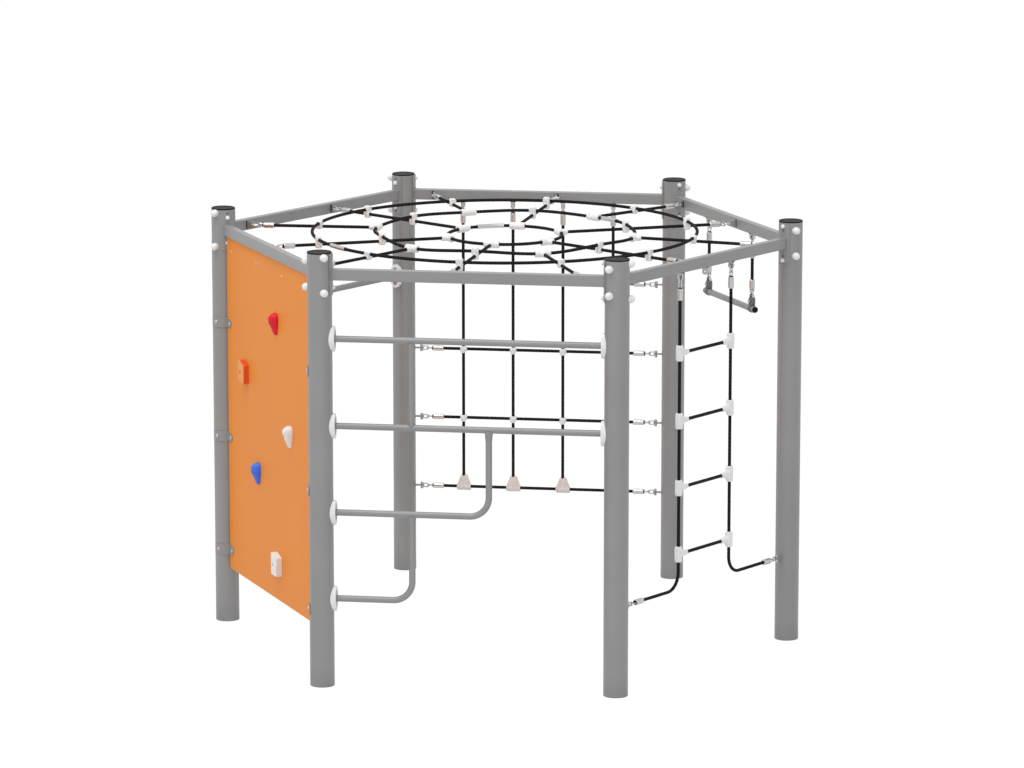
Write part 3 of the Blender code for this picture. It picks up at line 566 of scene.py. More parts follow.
beam_under = BEAM_Z - BEAM_H / 2
for k in range(1, 7):
    tube = added(bpy.ops.mesh.primitive_cube_add, size=1)
    bpy.ops.transform.resize(value=(SIDE - 2 * SADDLE_R, BEAM_W, BEAM_H))
    bpy.ops.transform.translate(value=(MIDDLE, 0, BEAM_Z))
    select(tube, "EDGE", lambda edge: abs(edge.verts[0].co.x - edge.verts[1].co.x) > 0.5)
    bpy.ops.mesh.bevel(offset=0.0055, segments=4)
    pieces = [done(tube)]
    holes = [(0, sign * far, 0.007) for sign in (-1, 1) for far in (NEAR_BOLT, FAR_BOLT)]
    # As wide as the twelve chords of 5 degrees that the plate is bent to.
    width = 2 * SADDLE_R * math.sin(math.radians(2.5)) * 12
    saddle = plate(rounded(width, SADDLE_H, 0.009), SADDLE_T, holes)
    saddle = folded(saddle, arc((0, 0), SADDLE_R, -30, 30, 12))
    pieces += copied(saddle, [shift(0, 0, BEAM_Z), FAR_POST @ shift(0, 0, BEAM_Z)])
    weld = [
        (math.sqrt(SADDLE_FACE**2 - y * y) + 0.0005, y, z + BEAM_Z)
        for y, z in rounded(BEAM_W + 0.002, BEAM_H + 0.002, 0.0065)
    ]
    pieces += copied(tube_along(weld, 0.0026, closed=True, sides=8), [Matrix(), FAR_POST])
    if k == 1:
        for x in TABS:
            tab = plate(rounded(0.040, 0.098, 0.006), TAB_T, [(0, TAB_DROP - TAB_HOLE, 0.0035)])
            pieces += copied(tab, [shift(x, TAB_Y, BEAM_Z - TAB_DROP) @ IN_PLANE])
            weld = [(along, y, 0) for along, y in rounded(0.042, 0.008, 0.0032, 3)]
            pieces += copied(tube_along(weld, 0.0016, closed=True, sides=8), [shift(x, TAB_Y, beam_under)])
    pieces = copied(merged(pieces), [side_frame(k)])
    joined(f"beam_tube_{k}", pieces, powder_coat, "painted_steel", replaces=[f"beam_{k}"])

# The bolt caps
# Two bolts hold each saddle to its post. A small round cap covers the nut on the saddle, and a large domed
# one covers the bolt's head on the far side of the post. All are white plastic.
white_plastic, shader, start, place = finish("white plastic", roughness=0.35)
cloud = noise(start, place, 22, 4)
fine = noise(start, place, 700, 2)
dust = clamped(start, noise(start, place, 60, 5, 0.65), 0.52, 0.75)
colour = between(start, cloud, linear(226, 226, 225), linear(238, 238, 237))
colour = over(start, dust * 0.18, colour, linear(186, 183, 178))
feed(
    shader,
    base_color=colour,
    roughness=0.3 + cloud * 0.12 + dust * 0.15,
    normal=bump(start, fine, 0.00004),
)

DOME = [
    (0.0190, -0.0060), (0.0203, -0.0045), (0.0203, 0.0090), (0.0194, 0.0140), (0.0173, 0.0188),
    (0.0142, 0.0227), (0.0100, 0.0258), (0.0050, 0.0275), (0.0004, 0.0279),
]
NUT_CAP = [
    (0.0102, -0.0010), (0.0110, 0.0004), (0.0110, 0.0055), (0.0103, 0.0083), (0.0083, 0.0106),
    (0.0050, 0.0118), (0.0004, 0.0121),
]
for k in range(1, 7):
    spots = []
    for sign in (-1, 1):
        for angle, height in ((180, NEAR_BOLT), (-60, FAR_BOLT)):
            seat = shift(POST_R - 0.001, 0, BEAM_Z + sign * height) @ ALONG_X
            spots.append(side_frame(k) @ turn(angle) @ seat)
    joined(f"dome_caps_{k}", copied(turned(DOME, 28), spots), white_plastic, "white_plastic")
    spots = []
    for sign in (-1, 1):
        for post, height in ((Matrix(), NEAR_BOLT), (FAR_POST, FAR_BOLT)):
            spot = shift(SADDLE_FACE, 0, BEAM_Z + sign * height) @ ALONG_X
            spots.append(side_frame(k) @ post @ spot)
    joined(f"nut_caps_{k}", copied(turned(NUT_CAP, 24), spots), white_plastic, "white_plastic")

# The climbing panel
# One orange 15 mm sheet of solid coloured plastic with rounded edges. Four screws hold it to the tabs under
# the beam, and two notches in its edges make room for nut caps.
PANEL_T = 0.015
PANEL_W = 1.378
PANEL_LOW = 0.302
PANEL_HIGH = 2.124
PANEL_FACE = -PANEL_T / 2
NOTCH_DEPTH = 0.0093
NOTCH_HALF = 0.013
orange_sheet, shader, start, place = finish("orange sheet", specular_ior_level=0.1)
cloud = noise(start, place, 2.2, 4)
pebble = noise(start, place, 520, 2)
grit = noise(start, place, 1500, 1)
scratch = clamped(start, noise(start, place, 9, 5, 0.75, (6, 6, 0.6)), 0.66, 0.74)
tone = clamped(start, cloud * 0.7 + pebble * 0.3, 0.3, 0.7)
colour = between(start, tone, linear(227, 137, 53), linear(233, 143, 59))
colour = over(start, scratch * 0.25, colour, linear(240, 176, 126))
grain = bump(start, pebble, 0.00012)
feed(
    shader,
    base_color=colour,
    roughness=0.40 + cloud * 0.1 + scratch * 0.15,
    normal=bump(start, grit, 0.00003, grain),
)
half_w = PANEL_W / 2
centre_z = (PANEL_LOW + PANEL_HIGH) / 2
outline = rounded(PANEL_W, PANEL_HIGH - PANEL_LOW, 0.012)
near_notch = BEAM_Z - NEAR_BOLT - centre_z
far_notch = BEAM_Z - FAR_BOLT - centre_z
inner = half_w - NOTCH_DEPTH
left_cut = [(-half_w, near_notch + NOTCH_HALF), (-inner, near_notch + NOTCH_HALF)]
left_cut += [(-inner, near_notch - NOTCH_HALF), (-half_w, near_notch - NOTCH_HALF)]
right_cut = [(half_w, far_notch - NOTCH_HALF), (inner, far_notch - NOTCH_HALF)]
right_cut += [(inner, far_notch + NOTCH_HALF), (half_w, far_notch + NOTCH_HALF)]
outline = outline[:10] + left_cut + outline[10:] + right_cut
TAB_SCREWS = [(x, BEAM_Z - TAB_HOLE) for x in TABS]
BRACKET_AT = (0.405, 1.030, 1.655)
EAR_REACH = 0.138
EAR_BOLT = EAR_REACH - 0.023
BRACKET_BOLTS = [(x, z) for z in BRACKET_AT for x in (EAR_BOLT, SIDE - EAR_BOLT)]
holes = [(x - MIDDLE, z - centre_z, 0.0045) for x, z in TAB_SCREWS + BRACKET_BOLTS]
sheet = plate(outline, PANEL_T, holes, edge=0.0028)
sheet = copied(sheet, [side_frame(1) @ shift(MIDDLE, 0, centre_z) @ IN_PLANE])
joined("panel_sheet", sheet, orange_sheet, "orange_panel", replaces=["climbing_panel"])

# The panel's screws
# Zinc-plated steel: round-headed screws with a hexagon socket on the front, nuts and washers on the back.
bright_steel, shader, start, place = finish("zinc-plated steel", metallic=1.0, roughness=0.3)
cloud = noise(start, place, 60, 4)
crystal = noise(start, place, 900, 2)
stain = clamped(start, noise(start, place, 130, 5, 0.7), 0.55, 0.8)
colour = between(start, cloud, linear(184, 183, 181), linear(206, 205, 203))
colour = over(start, stain * 0.3, colour, linear(150, 143, 134))
feed(
    shader,
    base_color=colour,
    roughness=0.24 + cloud * 0.14 + stain * 0.2,
    normal=bump(start, crystal, 0.00004),
)


def button_head(radius, height):
    """Round screw head on the XY plane, with a hexagon socket."""
    profile = [(radius * 0.97, -0.0008), (radius, 0.0004), (radius * 0.96, height * 0.40)]
    profile += [(radius * 0.82, height * 0.74), (radius * 0.60, height * 0.94), (radius * 0.42, height)]
    head = turned(profile, 24)
    socket = added(bpy.ops.mesh.primitive_cylinder_add, vertices=6, radius=radius * 0.32, depth=height)
    bpy.ops.transform.translate(value=(0, 0, height))
    modify(head, "BOOLEAN", object=done(socket), operation="DIFFERENCE", solver="EXACT")
    bpy.data.objects.remove(socket)
    return head


def nut(across, height):
    """Hexagon nut on a washer on the XY plane, with the end of its bolt."""
    washer = turned([(across * 0.92, -0.0005), (across * 0.92, 0.0012), (across * 0.86, 0.0016)], 28)
    body = added(bpy.ops.mesh.primitive_cylinder_add, vertices=6, radius=across * 0.577, depth=height)
    bpy.ops.transform.translate(value=(0, 0, 0.0014 + height / 2))
    done(body)
    modify(body, "BEVEL", width=across * 0.03, segments=2, limit_method="ANGLE", angle_limit=math.radians(40))
    top = height * 1.35
    profile = [(across * 0.29, 0), (across * 0.29, 0.0014 + top), (across * 0.23, 0.002 + height * 1.4)]
    shank = turned(profile, 18)
    return merged([washer, body, shank])


front = [side_frame(1) @ shift(x, PANEL_FACE, z) @ IN_PLANE for x, z in TAB_SCREWS]
back = [side_frame(1) @ shift(x, TAB_Y + TAB_T / 2, z) @ IN_PLANE @ turn(180, "X") for x, z in TAB_SCREWS]
behind = [side_frame(1) @ shift(x, -PANEL_FACE, z) @ IN_PLANE @ turn(180, "X") for x, z in BRACKET_BOLTS]
pieces = copied(button_head(0.0070, 0.0036), front) + copied(nut(0.0105, 0.005), back + behind)
joined("panel_screws", pieces, bright_steel, "bright_steel")

# The rope lugs
# Zinc-plated plates with a round end and a hole for a shackle's bolt. They are set into the beams' inner
# faces for the web and into their undersides for what hangs. A thin black strip at each root is painted
# shade, for the shadow in the gap where the lug meets the beam.
APOTHEM = SIDE * math.cos(math.pi / 6)
INWARD = Vector((0, 1, 0))
WEB_PIN_Y = 0.050
LONG_ANCHOR = MIDDLE - 0.1125
SHORT_ANCHOR = SIDE - 0.1605
LADDER_PIN = BEAM_Z - 0.054
LADDER_HALF = 0.2245
SPARE_LUG = MIDDLE - 0.0075
TRAPEZE_PIN = BEAM_Z - 0.049
TRAPEZE_HALF = 0.282
NET_PIN = BEAM_Z - 0.057
NET_ROPES = (-0.423, -0.141, 0.141, 0.423)


def web_anchor(anchor, pin_axis=ALONG):
    """Frame of a web pin on a side. The rope runs from it to the middle of the climbing frame."""
    toward = Vector((MIDDLE - anchor, APOTHEM, 0))
    return aimed(Vector((anchor, 0, BEAM_Z)) + toward * (WEB_PIN_Y / APOTHEM), toward, pin_axis)


def hanging(x, z, pin_axis, offset=0.0):
    """Frame of a pin under a beam, with its rope straight down."""
    return aimed((x, offset, z), -UP, pin_axis)


def wide_lug(reach, end, root):
    """Lug plate about its pin, from its round end of one radius to a root of another half width."""
    outline = arc((0, 0), end, -75, 75, 12) + [(-reach + 0.010, root), (-reach, root)]
    outline += [(-reach, -root), (-reach + 0.010, -root)]
    return plate(outline, LUG_T, [(0, 0, PIN_R)])


# A thin black strip at a lug's root: painted shade for the shadow gap between the lug and the beam.
def lug_shade_strip(length):
    return plate(rounded(0.013, length, 0.005), 0.004, edge=0.0010)


lugs = []
shade_strips = []
for k in range(1, 7):
    for anchor in (LONG_ANCHOR, SHORT_ANCHOR):
        piece = wide_lug(WEB_PIN_Y - BEAM_W / 2 + 0.004, 0.0135, 0.018)
        lugs += copied(piece, [side_frame(k) @ web_anchor(anchor)])
        foot = anchor + (MIDDLE - anchor) * BEAM_W / 2 / APOTHEM
        spot = shift(foot, BEAM_W / 2 + 0.0005, BEAM_Z) @ IN_PLANE
        shade_strips += copied(lug_shade_strip(0.042), [side_frame(k) @ spot])
hung = [(3, x, LADDER_PIN, ALONG, 0, 0.0172) for x in (MIDDLE - LADDER_HALF, SPARE_LUG, MIDDLE + LADDER_HALF)]
hung += [(4, x, TRAPEZE_PIN, ALONG, 0, 0.0185) for x in (MIDDLE - TRAPEZE_HALF, MIDDLE + TRAPEZE_HALF)]
hung += [(5, MIDDLE + x, NET_PIN, INWARD, NET_OFFSET, LUG_R) for x in NET_ROPES]
for k, x, pin, pin_axis, offset, radius in hung:
    piece = wide_lug(beam_under - pin + 0.003, radius, radius * 0.97)
    lugs += copied(piece, [side_frame(k) @ hanging(x, pin, pin_axis, offset)])
    across = 0 if pin_axis == ALONG else 90
    shade_strip = lug_shade_strip(2 * radius + 0.006)
    shade_strips += copied(shade_strip, [side_frame(k) @ shift(x, offset, beam_under - 0.0005) @ turn(across)])
joined("rope_lugs", lugs, bright_steel, "bright_steel")
# The black strips are painted shade at the lugs' roots.
joined("lug_shade_strips", shade_strips, black_plastic, "black_plastic")

# The panel brackets
# Each is one strip of 4 mm steel, rolled round the post and folded out into a round-ended ear that is bolted
# to the panel's outer face. A screw holds the rolled part to the post. They are coated like the posts.
BRACKET_T = 0.004
BRACKET_H = 0.056
EAR_H = 0.045
wrap_r = POST_FIT + BRACKET_T / 2
ear_y = PANEL_FACE - 0.0003 - BRACKET_T / 2
wrap = arc((0, 0), wrap_r, -90, -14, 14)
fold = arc((wrap_r * math.cos(math.radians(-14)) + 0.0052, ear_y - 0.0052), 0.0052, 170, 90, 5)
route = wrap + fold[1:] + [(EAR_REACH - EAR_H / 2, ear_y), (EAR_REACH, ear_y)]
length = sum(math.dist(a, b) for a, b in zip(route, route[1:]))
ear_start = length / 2 - 0.058
outline = arc((length / 2 - EAR_H / 2, 0), EAR_H / 2, -90, 90, 10)
outline += [(ear_start, EAR_H / 2), (ear_start - 0.012, BRACKET_H / 2)]
outline += arc((-length / 2 + 0.006, BRACKET_H / 2 - 0.006), 0.006, 90, 180, 3)
outline += arc((-length / 2 + 0.006, -BRACKET_H / 2 + 0.006), 0.006, 180, 270, 3)
outline += [(ear_start - 0.012, -BRACKET_H / 2), (ear_start, -EAR_H / 2)]
strip = folded(plate(outline, BRACKET_T, edge=0.0008), route)
mirrored = shift(SIDE, 0, 0) @ Matrix.Diagonal((-1, 1, 1, 1))
spots = [side_frame(1) @ post @ shift(0, 0, z) for z in BRACKET_AT for post in (Matrix(), mirrored)]
for number, piece in enumerate(copied(strip, spots)):
    name = f"panel_bracket_{number + 1}"
    joined(f"bracket_strip_{number + 1}", [piece], powder_coat, "painted_steel", replaces=[name], sharp=30)
on_ear = [spot @ shift(EAR_BOLT, ear_y - BRACKET_T / 2, 0) @ IN_PLANE for spot in spots]
on_wrap = [spot @ turn(-61) @ shift(wrap_r + BRACKET_T / 2, 0, 0) @ ALONG_X for spot in spots]
heads = copied(button_head(0.0095, 0.0045), on_ear + on_wrap)
joined("bracket_screws", heads, bright_steel, "bright_steel")

# The holds
# Five moulded resin holds, each screwed to the panel by one bolt: three drops with their tips down and a
# finger pocket near the top, in red, white and blue, and two flat blocks with a slanting top, in orange-red
# and white.


def resin(name, dark, light, painted_lit_colour=None):
    """Gritty cast resin. What stands out furthest from the panel can be given a lighter colour, as painted
    light.
    """
    look, shader, start, place = finish(name, specular_ior_level=0.35)
    cloud = noise(start, place, 30, 4)
    grit = noise(start, place, 1100, 3, 0.6)
    chalk = clamped(start, noise(start, place, 75, 5, 0.7), 0.55, 0.8)
    colour = between(start, cloud, dark, light)
    colour = over(start, chalk * 0.06, colour, linear(225, 220, 215))
    if painted_lit_colour:
        # Painted light: the outward face gets the lighter colour, so that it looks lit and the sides look
        # shaded.
        outward = side_frame(1).to_3x3() @ Vector((0, -1, 0))
        distance = start.node("VectorMath", {0: place, 1: outward}, output=1, operation="DOT_PRODUCT")
        painted_light_share = clamped(start, distance + cloud * 0.002, APOTHEM + 0.0362, APOTHEM + 0.0386)
        colour = over(start, painted_light_share, colour, painted_lit_colour)
    feed(
        shader,
        base_color=colour,
        roughness=0.38 + cloud * 0.12 + chalk * 0.2,
        normal=bump(start, grit, 0.00018),
    )
    return look


def blended(pieces, voxel, ratio, rounds):
    """Melts overlapping solids into one moulded body with soft inner corners."""
    piece = merged(pieces)
    modify(piece, "REMESH", mode="VOXEL", voxel_size=voxel)
    modify(piece, "SMOOTH", factor=0.5, iterations=rounds)
    return modify(piece, "DECIMATE", ratio=ratio)


def flat_backed(hold):
    """Cuts a hold off where it meets the panel and thins its mesh."""
    opened(hold)
    bpy.ops.mesh.bisect(plane_co=(0, -0.0004, 0), plane_no=(0, 1, 0), use_fill=True, clear_outer=True)
    bpy.ops.object.mode_set(mode="OBJECT")
    return modify(hold, "DECIMATE", ratio=0.16)


BOLT_HOLE = 0.0085
# Where a hold's bolt head sits: aside, before the panel and up.
DROP_BOLT = (0, -0.0245, 0.006)
BLOCK_BOLT = (-0.010, -0.0125, -0.004)
# Height, half width and depth of the drop's levels, from the top down.
DROP = (
    (0.0560, 0.0140, 0.0120), (0.0538, 0.0220, 0.0240), (0.0480, 0.0285, 0.0350),
    (0.0390, 0.0325, 0.0430), (0.0280, 0.0340, 0.0455), (0.0150, 0.0335, 0.0430),
    (0.0020, 0.0315, 0.0385), (-0.0130, 0.0285, 0.0325), (-0.0280, 0.0250, 0.0265),
    (-0.0420, 0.0215, 0.0205), (-0.0525, 0.0185, 0.0160), (-0.0580, 0.0150, 0.0125),
    (-0.0602, 0.0100, 0.0080),
)
DROP_SIDES = 40


def drop_hold():
    """A drop with its tip down: X to the right, Z up, -Y away from the panel."""
    corners = []
    for height, half, depth in DROP:
        for i in range(DROP_SIDES):
            angle = math.tau * i / DROP_SIDES
            corners.append((half * math.cos(angle), depth * math.sin(angle), height))
    last = (len(DROP) - 1) * DROP_SIDES
    faces = [list(range(DROP_SIDES)), list(range(last, last + DROP_SIDES))]
    for low in range(0, last, DROP_SIDES):
        for i in range(DROP_SIDES):
            after = (i + 1) % DROP_SIDES
            faces.append([low + i, low + after, low + DROP_SIDES + after, low + DROP_SIDES + i])
    mesh = bpy.data.meshes.new("drop")
    mesh.from_pydata(corners, [], faces)
    hold = bpy.data.objects.new("drop", mesh)
    scene.collection.objects.link(hold)
    hold = blended([hold], 0.0016, 1.0, 6)
    pocket = added(bpy.ops.mesh.primitive_uv_sphere_add, segments=32, ring_count=20, radius=1)
    bpy.ops.transform.resize(value=(0.015, 0.012, 0.020))
    done(pocket).data.transform(shift(-0.016, -0.031, 0.040) @ turn(-30, "X"))
    modify(hold, "BOOLEAN", object=pocket, operation="DIFFERENCE", solver="EXACT")
    bpy.data.objects.remove(pocket)
    modify(hold, "REMESH", mode="VOXEL", voxel_size=0.0015)
    modify(hold, "SMOOTH", factor=0.5, iterations=3)
    aside, _, up = DROP_BOLT
    return bored(flat_backed(hold), shift(aside, -0.045, up) @ IN_PLANE, BOLT_HOLE, 0.021)


def block_hold():
    """A flat block with a slanting top and a deep bolt hole."""
    outline = [(-0.041, -0.062), (0.045, -0.062), (0.047, 0.040), (-0.012, 0.058), (-0.044, 0.058)]
    block = plate(outline, 0.064, edge=0.0005)
    block.data.transform(IN_PLANE)
    for vert in block.data.vertices:
        if vert.co.y < 0:
            vert.co.x *= 0.95
            vert.co.z *= 0.96
    modify(block, "BEVEL", width=0.005, segments=4, limit_method="ANGLE", angle_limit=math.radians(40))
    modify(block, "REMESH", mode="VOXEL", voxel_size=0.0016)
    modify(block, "SMOOTH", factor=0.5, iterations=4)
    aside, _, up = BLOCK_BOLT
    return bored(flat_backed(block), shift(aside, -0.032, up) @ IN_PLANE, BOLT_HOLE, 0.020)


red = resin("red resin", linear(214, 0, 28), linear(224, 8, 38))
# The coral block's third colour is painted light on its outward face.
coral = resin("coral resin", linear(214, 76, 30), linear(226, 90, 42), linear(233, 147, 62))
blue = resin("blue resin", linear(54, 104, 222), linear(70, 120, 236))
white = resin("white resin", linear(222, 222, 222), linear(236, 236, 236))
holds = (
    ("red_drop", drop_hold, MIDDLE + 0.1075, 1.785, red, "hold_red"),
    ("white_drop", drop_hold, MIDDLE + 0.3190, 1.224, white, "white_plastic"),
    ("blue_drop", drop_hold, MIDDLE - 0.1950, 0.927, blue, "hold_blue"),
    ("coral_block", block_hold, MIDDLE - 0.3885, 1.443, coral, "hold_coral"),
    ("white_block", block_hold, MIDDLE + 0.1185, 0.501, white, "white_plastic"),
)
for name, shape, x, z, look, slot in holds:
    piece = copied(shape(), [side_frame(1) @ shift(x, PANEL_FACE - 0.0001, z)])
    joined(name, piece, look, slot, replaces=["hold_" + name], sharp=50)

# The holds' bolts
# A socket-head bolt sits deep in each hold, and a nut and washer hold it behind the panel.
heads = []
behind = []
for name, shape, x, z, look, slot in holds:
    aside, before, up = DROP_BOLT if shape is drop_hold else BLOCK_BOLT
    heads.append(side_frame(1) @ shift(x + aside, PANEL_FACE + before, z + up) @ IN_PLANE)
    behind.append(side_frame(1) @ shift(x + aside, -PANEL_FACE, z + up) @ IN_PLANE @ turn(180, "X"))
pieces = copied(button_head(0.0082, 0.0070), heads) + copied(nut(0.015, 0.007), behind)
joined("hold_bolts", pieces, bright_steel, "bright_steel")

# The bars' flanges
# Oval white plastic pads between the posts and the bars. Each is hollowed to the post's curve on one side
# and flat on the other, where the bar's end plate is let into it.
LEVELS = [1.821, 1.368, 0.915, 0.462]
PULL_UP_BAR = BEAM_Z - 0.460
PAD_FACE = POST_R + 0.0148


def oval(width, height):
    return [(x * width / 2, y * height / 2) for x, y in arc((0, 0), 1, 0, 360, 56)[:-1]]


def saddle_pad():
    """The pad at its post's frame, cut out for the post and for the end plate."""
    pad = plate(oval(0.078, 0.132), PAD_FACE - 0.040, edge=0.0020)
    pad.data.transform(shift((PAD_FACE + 0.040) / 2, 0, 0) @ ALONG_X)
    bored(pad, Matrix(), POST_FIT, 0.080, sides=72)
    seat = plate(oval(0.0455, 0.1015), 0.0124)
    seat.data.transform(shift(PAD_FACE, 0, 0) @ ALONG_X)
    modify(pad, "BOOLEAN", object=seat, operation="DIFFERENCE", solver="EXACT")
    bpy.data.objects.remove(seat)
    return pad


pads = [("bar_flange_" + str(i + 1), 2, Matrix(), z) for i, z in enumerate(LEVELS)]
pads += [("bar_flange_" + str(i + 5), 2, FAR_POST, z) for i, z in enumerate(LEVELS[:2])]
pads += [("pull_up_flange_1", 6, Matrix(), PULL_UP_BAR), ("pull_up_flange_2", 6, FAR_POST, PULL_UP_BAR)]
spots = [side_frame(k) @ post @ shift(0, 0, z) for _, k, post, z in pads]
for piece, (name, *_) in zip(copied(saddle_pad(), spots), pads):
    joined("pad_" + name, [piece], white_plastic, "white_plastic", replaces=[name])

# The stepped bars and the pull-up bar
# Round steel bars, 33.7 mm across, coated like the posts. Where one meets a post, an oval plate is welded to
# it and let into a pad. Two bars turn up into risers, which end in a flared collar under the bar above.
BAR_R = 0.01685
BAR_ENDS = PAD_FACE - 0.003
BEND_R = 0.100
COLLAR = [
    (BAR_R, 0), (BAR_R + 0.0006, 0.002), (BAR_R + 0.0012, 0.012), (0.0200, 0.034),
    (0.0212, 0.045), (0.0212, 0.052), (0.0180, 0.0545),
]


def end_plates(places):
    """Oval end plates with a weld bead round the bar."""
    end_plate = plate(oval(0.044, 0.100), 0.0056, edge=0.0008)
    end_plate.data.transform(shift(PAD_FACE - 0.0031, 0, 0) @ ALONG_X)
    ring = [(PAD_FACE + 0.0004, y, z) for y, z in arc((0, 0), BAR_R + 0.0006, 0, 360, 24)[:-1]]
    return copied(end_plate, places) + copied(tube_along(ring, 0.0022, closed=True, sides=8), places)


def straight_bar(z):
    bar = tube_along([(BAR_ENDS, 0, z), (SIDE - BAR_ENDS, 0, z)], BAR_R, sides=32)
    return [bar] + end_plates([shift(0, 0, z), FAR_POST @ shift(0, 0, z)])


def bent_bar(z, riser, top):
    """A bar that turns up into a riser, with a collar and a weld bead under the bar above."""
    bend = arc((riser - BEND_R, z + BEND_R), BEND_R, -90, 0, 14)
    route = [(BAR_ENDS, 0, z)] + [(x, 0, up) for x, up in bend] + [(riser, 0, top - 0.010)]
    pieces = [tube_along(route, BAR_R, sides=32)]
    rim = []
    for x, y in arc((0, 0), 0.0192, 0, 360, 28)[:-1]:
        rim.append((riser + x, y, top - math.sqrt(BAR_R**2 - min(y * y, BAR_R**2)) * 0.97))
    pieces.append(tube_along(rim, 0.0018, closed=True, sides=8))
    pieces += copied(turned(COLLAR, 32), [shift(riser, 0, top - 0.0585)])
    return pieces + end_plates([shift(0, 0, z)])


def short_upright():
    """The upright between the straight bars, with a weld bead at each end."""
    x = MIDDLE - 0.2915
    pieces = [tube_along([(x, 0, LEVELS[1] + 0.010), (x, 0, LEVELS[0] - 0.010)], BAR_R, sides=32)]
    for level, side in ((LEVELS[1], 1), (LEVELS[0], -1)):
        ring = []
        for along, y in arc((0, 0), BAR_R + 0.0006, 0, 360, 28)[:-1]:
            ring.append((x + along, y, level + side * math.sqrt(max(0, (BAR_R + 0.0002) ** 2 - y * y))))
        pieces.append(tube_along(ring, 0.0022, closed=True, sides=8))
    return pieces


HIGH_RISER = MIDDLE + 0.1075
LOW_RISER = MIDDLE - 0.290
for name, node, k, pieces in (
    ("straight_bar_1", "step_bar_1", 2, straight_bar(LEVELS[0])),
    ("straight_bar_2", "step_bar_2", 2, straight_bar(LEVELS[1])),
    ("upright_between_bars", "short_upright", 2, short_upright()),
    ("turned_up_bar_1", "bent_bar_1", 2, bent_bar(LEVELS[2], HIGH_RISER, LEVELS[1])),
    ("turned_up_bar_2", "bent_bar_2", 2, bent_bar(LEVELS[3], LOW_RISER, LEVELS[2])),
    ("chin_bar", "pull_up_bar", 6, straight_bar(PULL_UP_BAR)),
):
    pieces = copied(merged(pieces), [side_frame(k)])
    joined(name, pieces, powder_coat, "painted_steel", replaces=[node])

# The rope ladder's ropes
# Black 16 mm rope of six strands of yarn laid over steel wires, like all the ropes of the climbing frame.
# Each runs from the beam down through the rungs and bends out to a lug low on its post.
ROPE_R = 0.008
ROPE_LAY = 0.128
ROPE_STEP = 0.008
ROPE_SIDES = 24
# A strand's crown, its flank, the valley beside it and the next flank, as shares of the rope's radius.
STRAND = (1.10, 1.075, 0.97, 1.075)
FERRULE = 0.062
# A rope starts this far inside its ferrule.
IN_FERRULE = 0.010
LADDER_BEND = 0.090
POST_FORK = 0.065
LADDER_FORK = 0.059
black_rope, shader, start, place = finish("black rope", specular_ior_level=0.15)
along = start.node("UVMap", {}, uv_map="rope")
fibre = start.node("Mapping", {"Vector": along, "Scale": (420, 11.3, 1)})
yarn = start.node(
    "TexWave", {"Vector": fibre, "Scale": 1.0, "Distortion": 1.6}, output=1, bands_direction="DIAGONAL"
)
fuzz = noise(start, place, 1300, 3, 0.65)
wear = clamped(start, noise(start, place, 38, 5, 0.6), 0.45, 0.8)
tone = clamped(start, yarn * 0.55 + fuzz * 0.45, 0.25, 0.8)
colour = between(start, tone, linear(18, 15, 16), linear(38, 34, 35))
colour = over(start, wear * 0.25, colour, linear(58, 54, 54))
rough = bump(start, fuzz, 0.0002)
feed(
    shader,
    base_color=colour,
    roughness=0.66 + fuzz * 0.2,
    normal=bump(start, yarn, 0.0004, rough),
)


def rope(route, closed=False):
    """A rope of six laid strands along a route. Its UV holds the metres along it and the turns round it."""
    loop = [Vector(point) for point in route]
    loop += loop[:1] if closed else []
    marks = [0.0]
    for a, b in zip(loop, loop[1:]):
        marks.append(marks[-1] + (b - a).length)
    length = marks[-1]
    steps = max(2, round(length / ROPE_STEP))
    spots = []
    i = 0
    for step in range(steps + 1):
        at = length * step / steps
        while i < len(loop) - 2 and marks[i + 1] < at:
            i += 1
        spots.append(loop[i].lerp(loop[i + 1], (at - marks[i]) / (marks[i + 1] - marks[i])))
    count = steps if closed else steps + 1
    sixths = round(6 * length / ROPE_LAY)
    mesh = bpy.data.meshes.new("rope")
    corners = []
    side = (spots[1] - spots[0]).orthogonal()
    for step in range(count):
        ahead = spots[(step + 1) % count] if closed else spots[min(step + 1, count - 1)]
        behind = spots[(step - 1) % count] if closed else spots[max(step - 1, 0)]
        run = (ahead - behind).normalized()
        side = (side - run * side.dot(run)).normalized()
        across = run.cross(side)
        for corner in range(ROPE_SIDES):
            angle = math.tau * (corner / ROPE_SIDES + sixths / 6 * step / steps)
            radius = ROPE_R * STRAND[corner % 4]
            corners.append(spots[step] + radius * (side * math.cos(angle) + across * math.sin(angle)))
    faces = []
    marks = []
    for step in range(steps):
        shifted = 4 * sixths if closed and step == steps - 1 else 0
        near = step * ROPE_SIDES
        far = (step + 1) % count * ROPE_SIDES
        u0 = length * step / steps
        u1 = u0 + length / steps
        for corner in range(ROPE_SIDES):
            after = (corner + 1) % ROPE_SIDES
            beyond = [far + (after + shifted) % ROPE_SIDES, far + (corner + shifted) % ROPE_SIDES]
            faces.append([near + corner, near + after] + beyond)
            v0 = corner / ROPE_SIDES
            v1 = v0 + 1 / ROPE_SIDES
            marks.append(((u0, v0), (u0, v1), (u1, v1), (u1, v0)))
    if not closed:
        last = steps * ROPE_SIDES
        faces += [list(range(ROPE_SIDES - 1, -1, -1)), list(range(last, last + ROPE_SIDES))]
        marks += [((0, 0),) * ROPE_SIDES] * 2
    mesh.from_pydata(corners, [], faces)
    layer = mesh.uv_layers.new(name="rope")
    layer.data.foreach_set("uv", [value for face in marks for mark in face for value in mark])
    piece = bpy.data.objects.new("rope", mesh)
    scene.collection.objects.link(piece)
    return piece


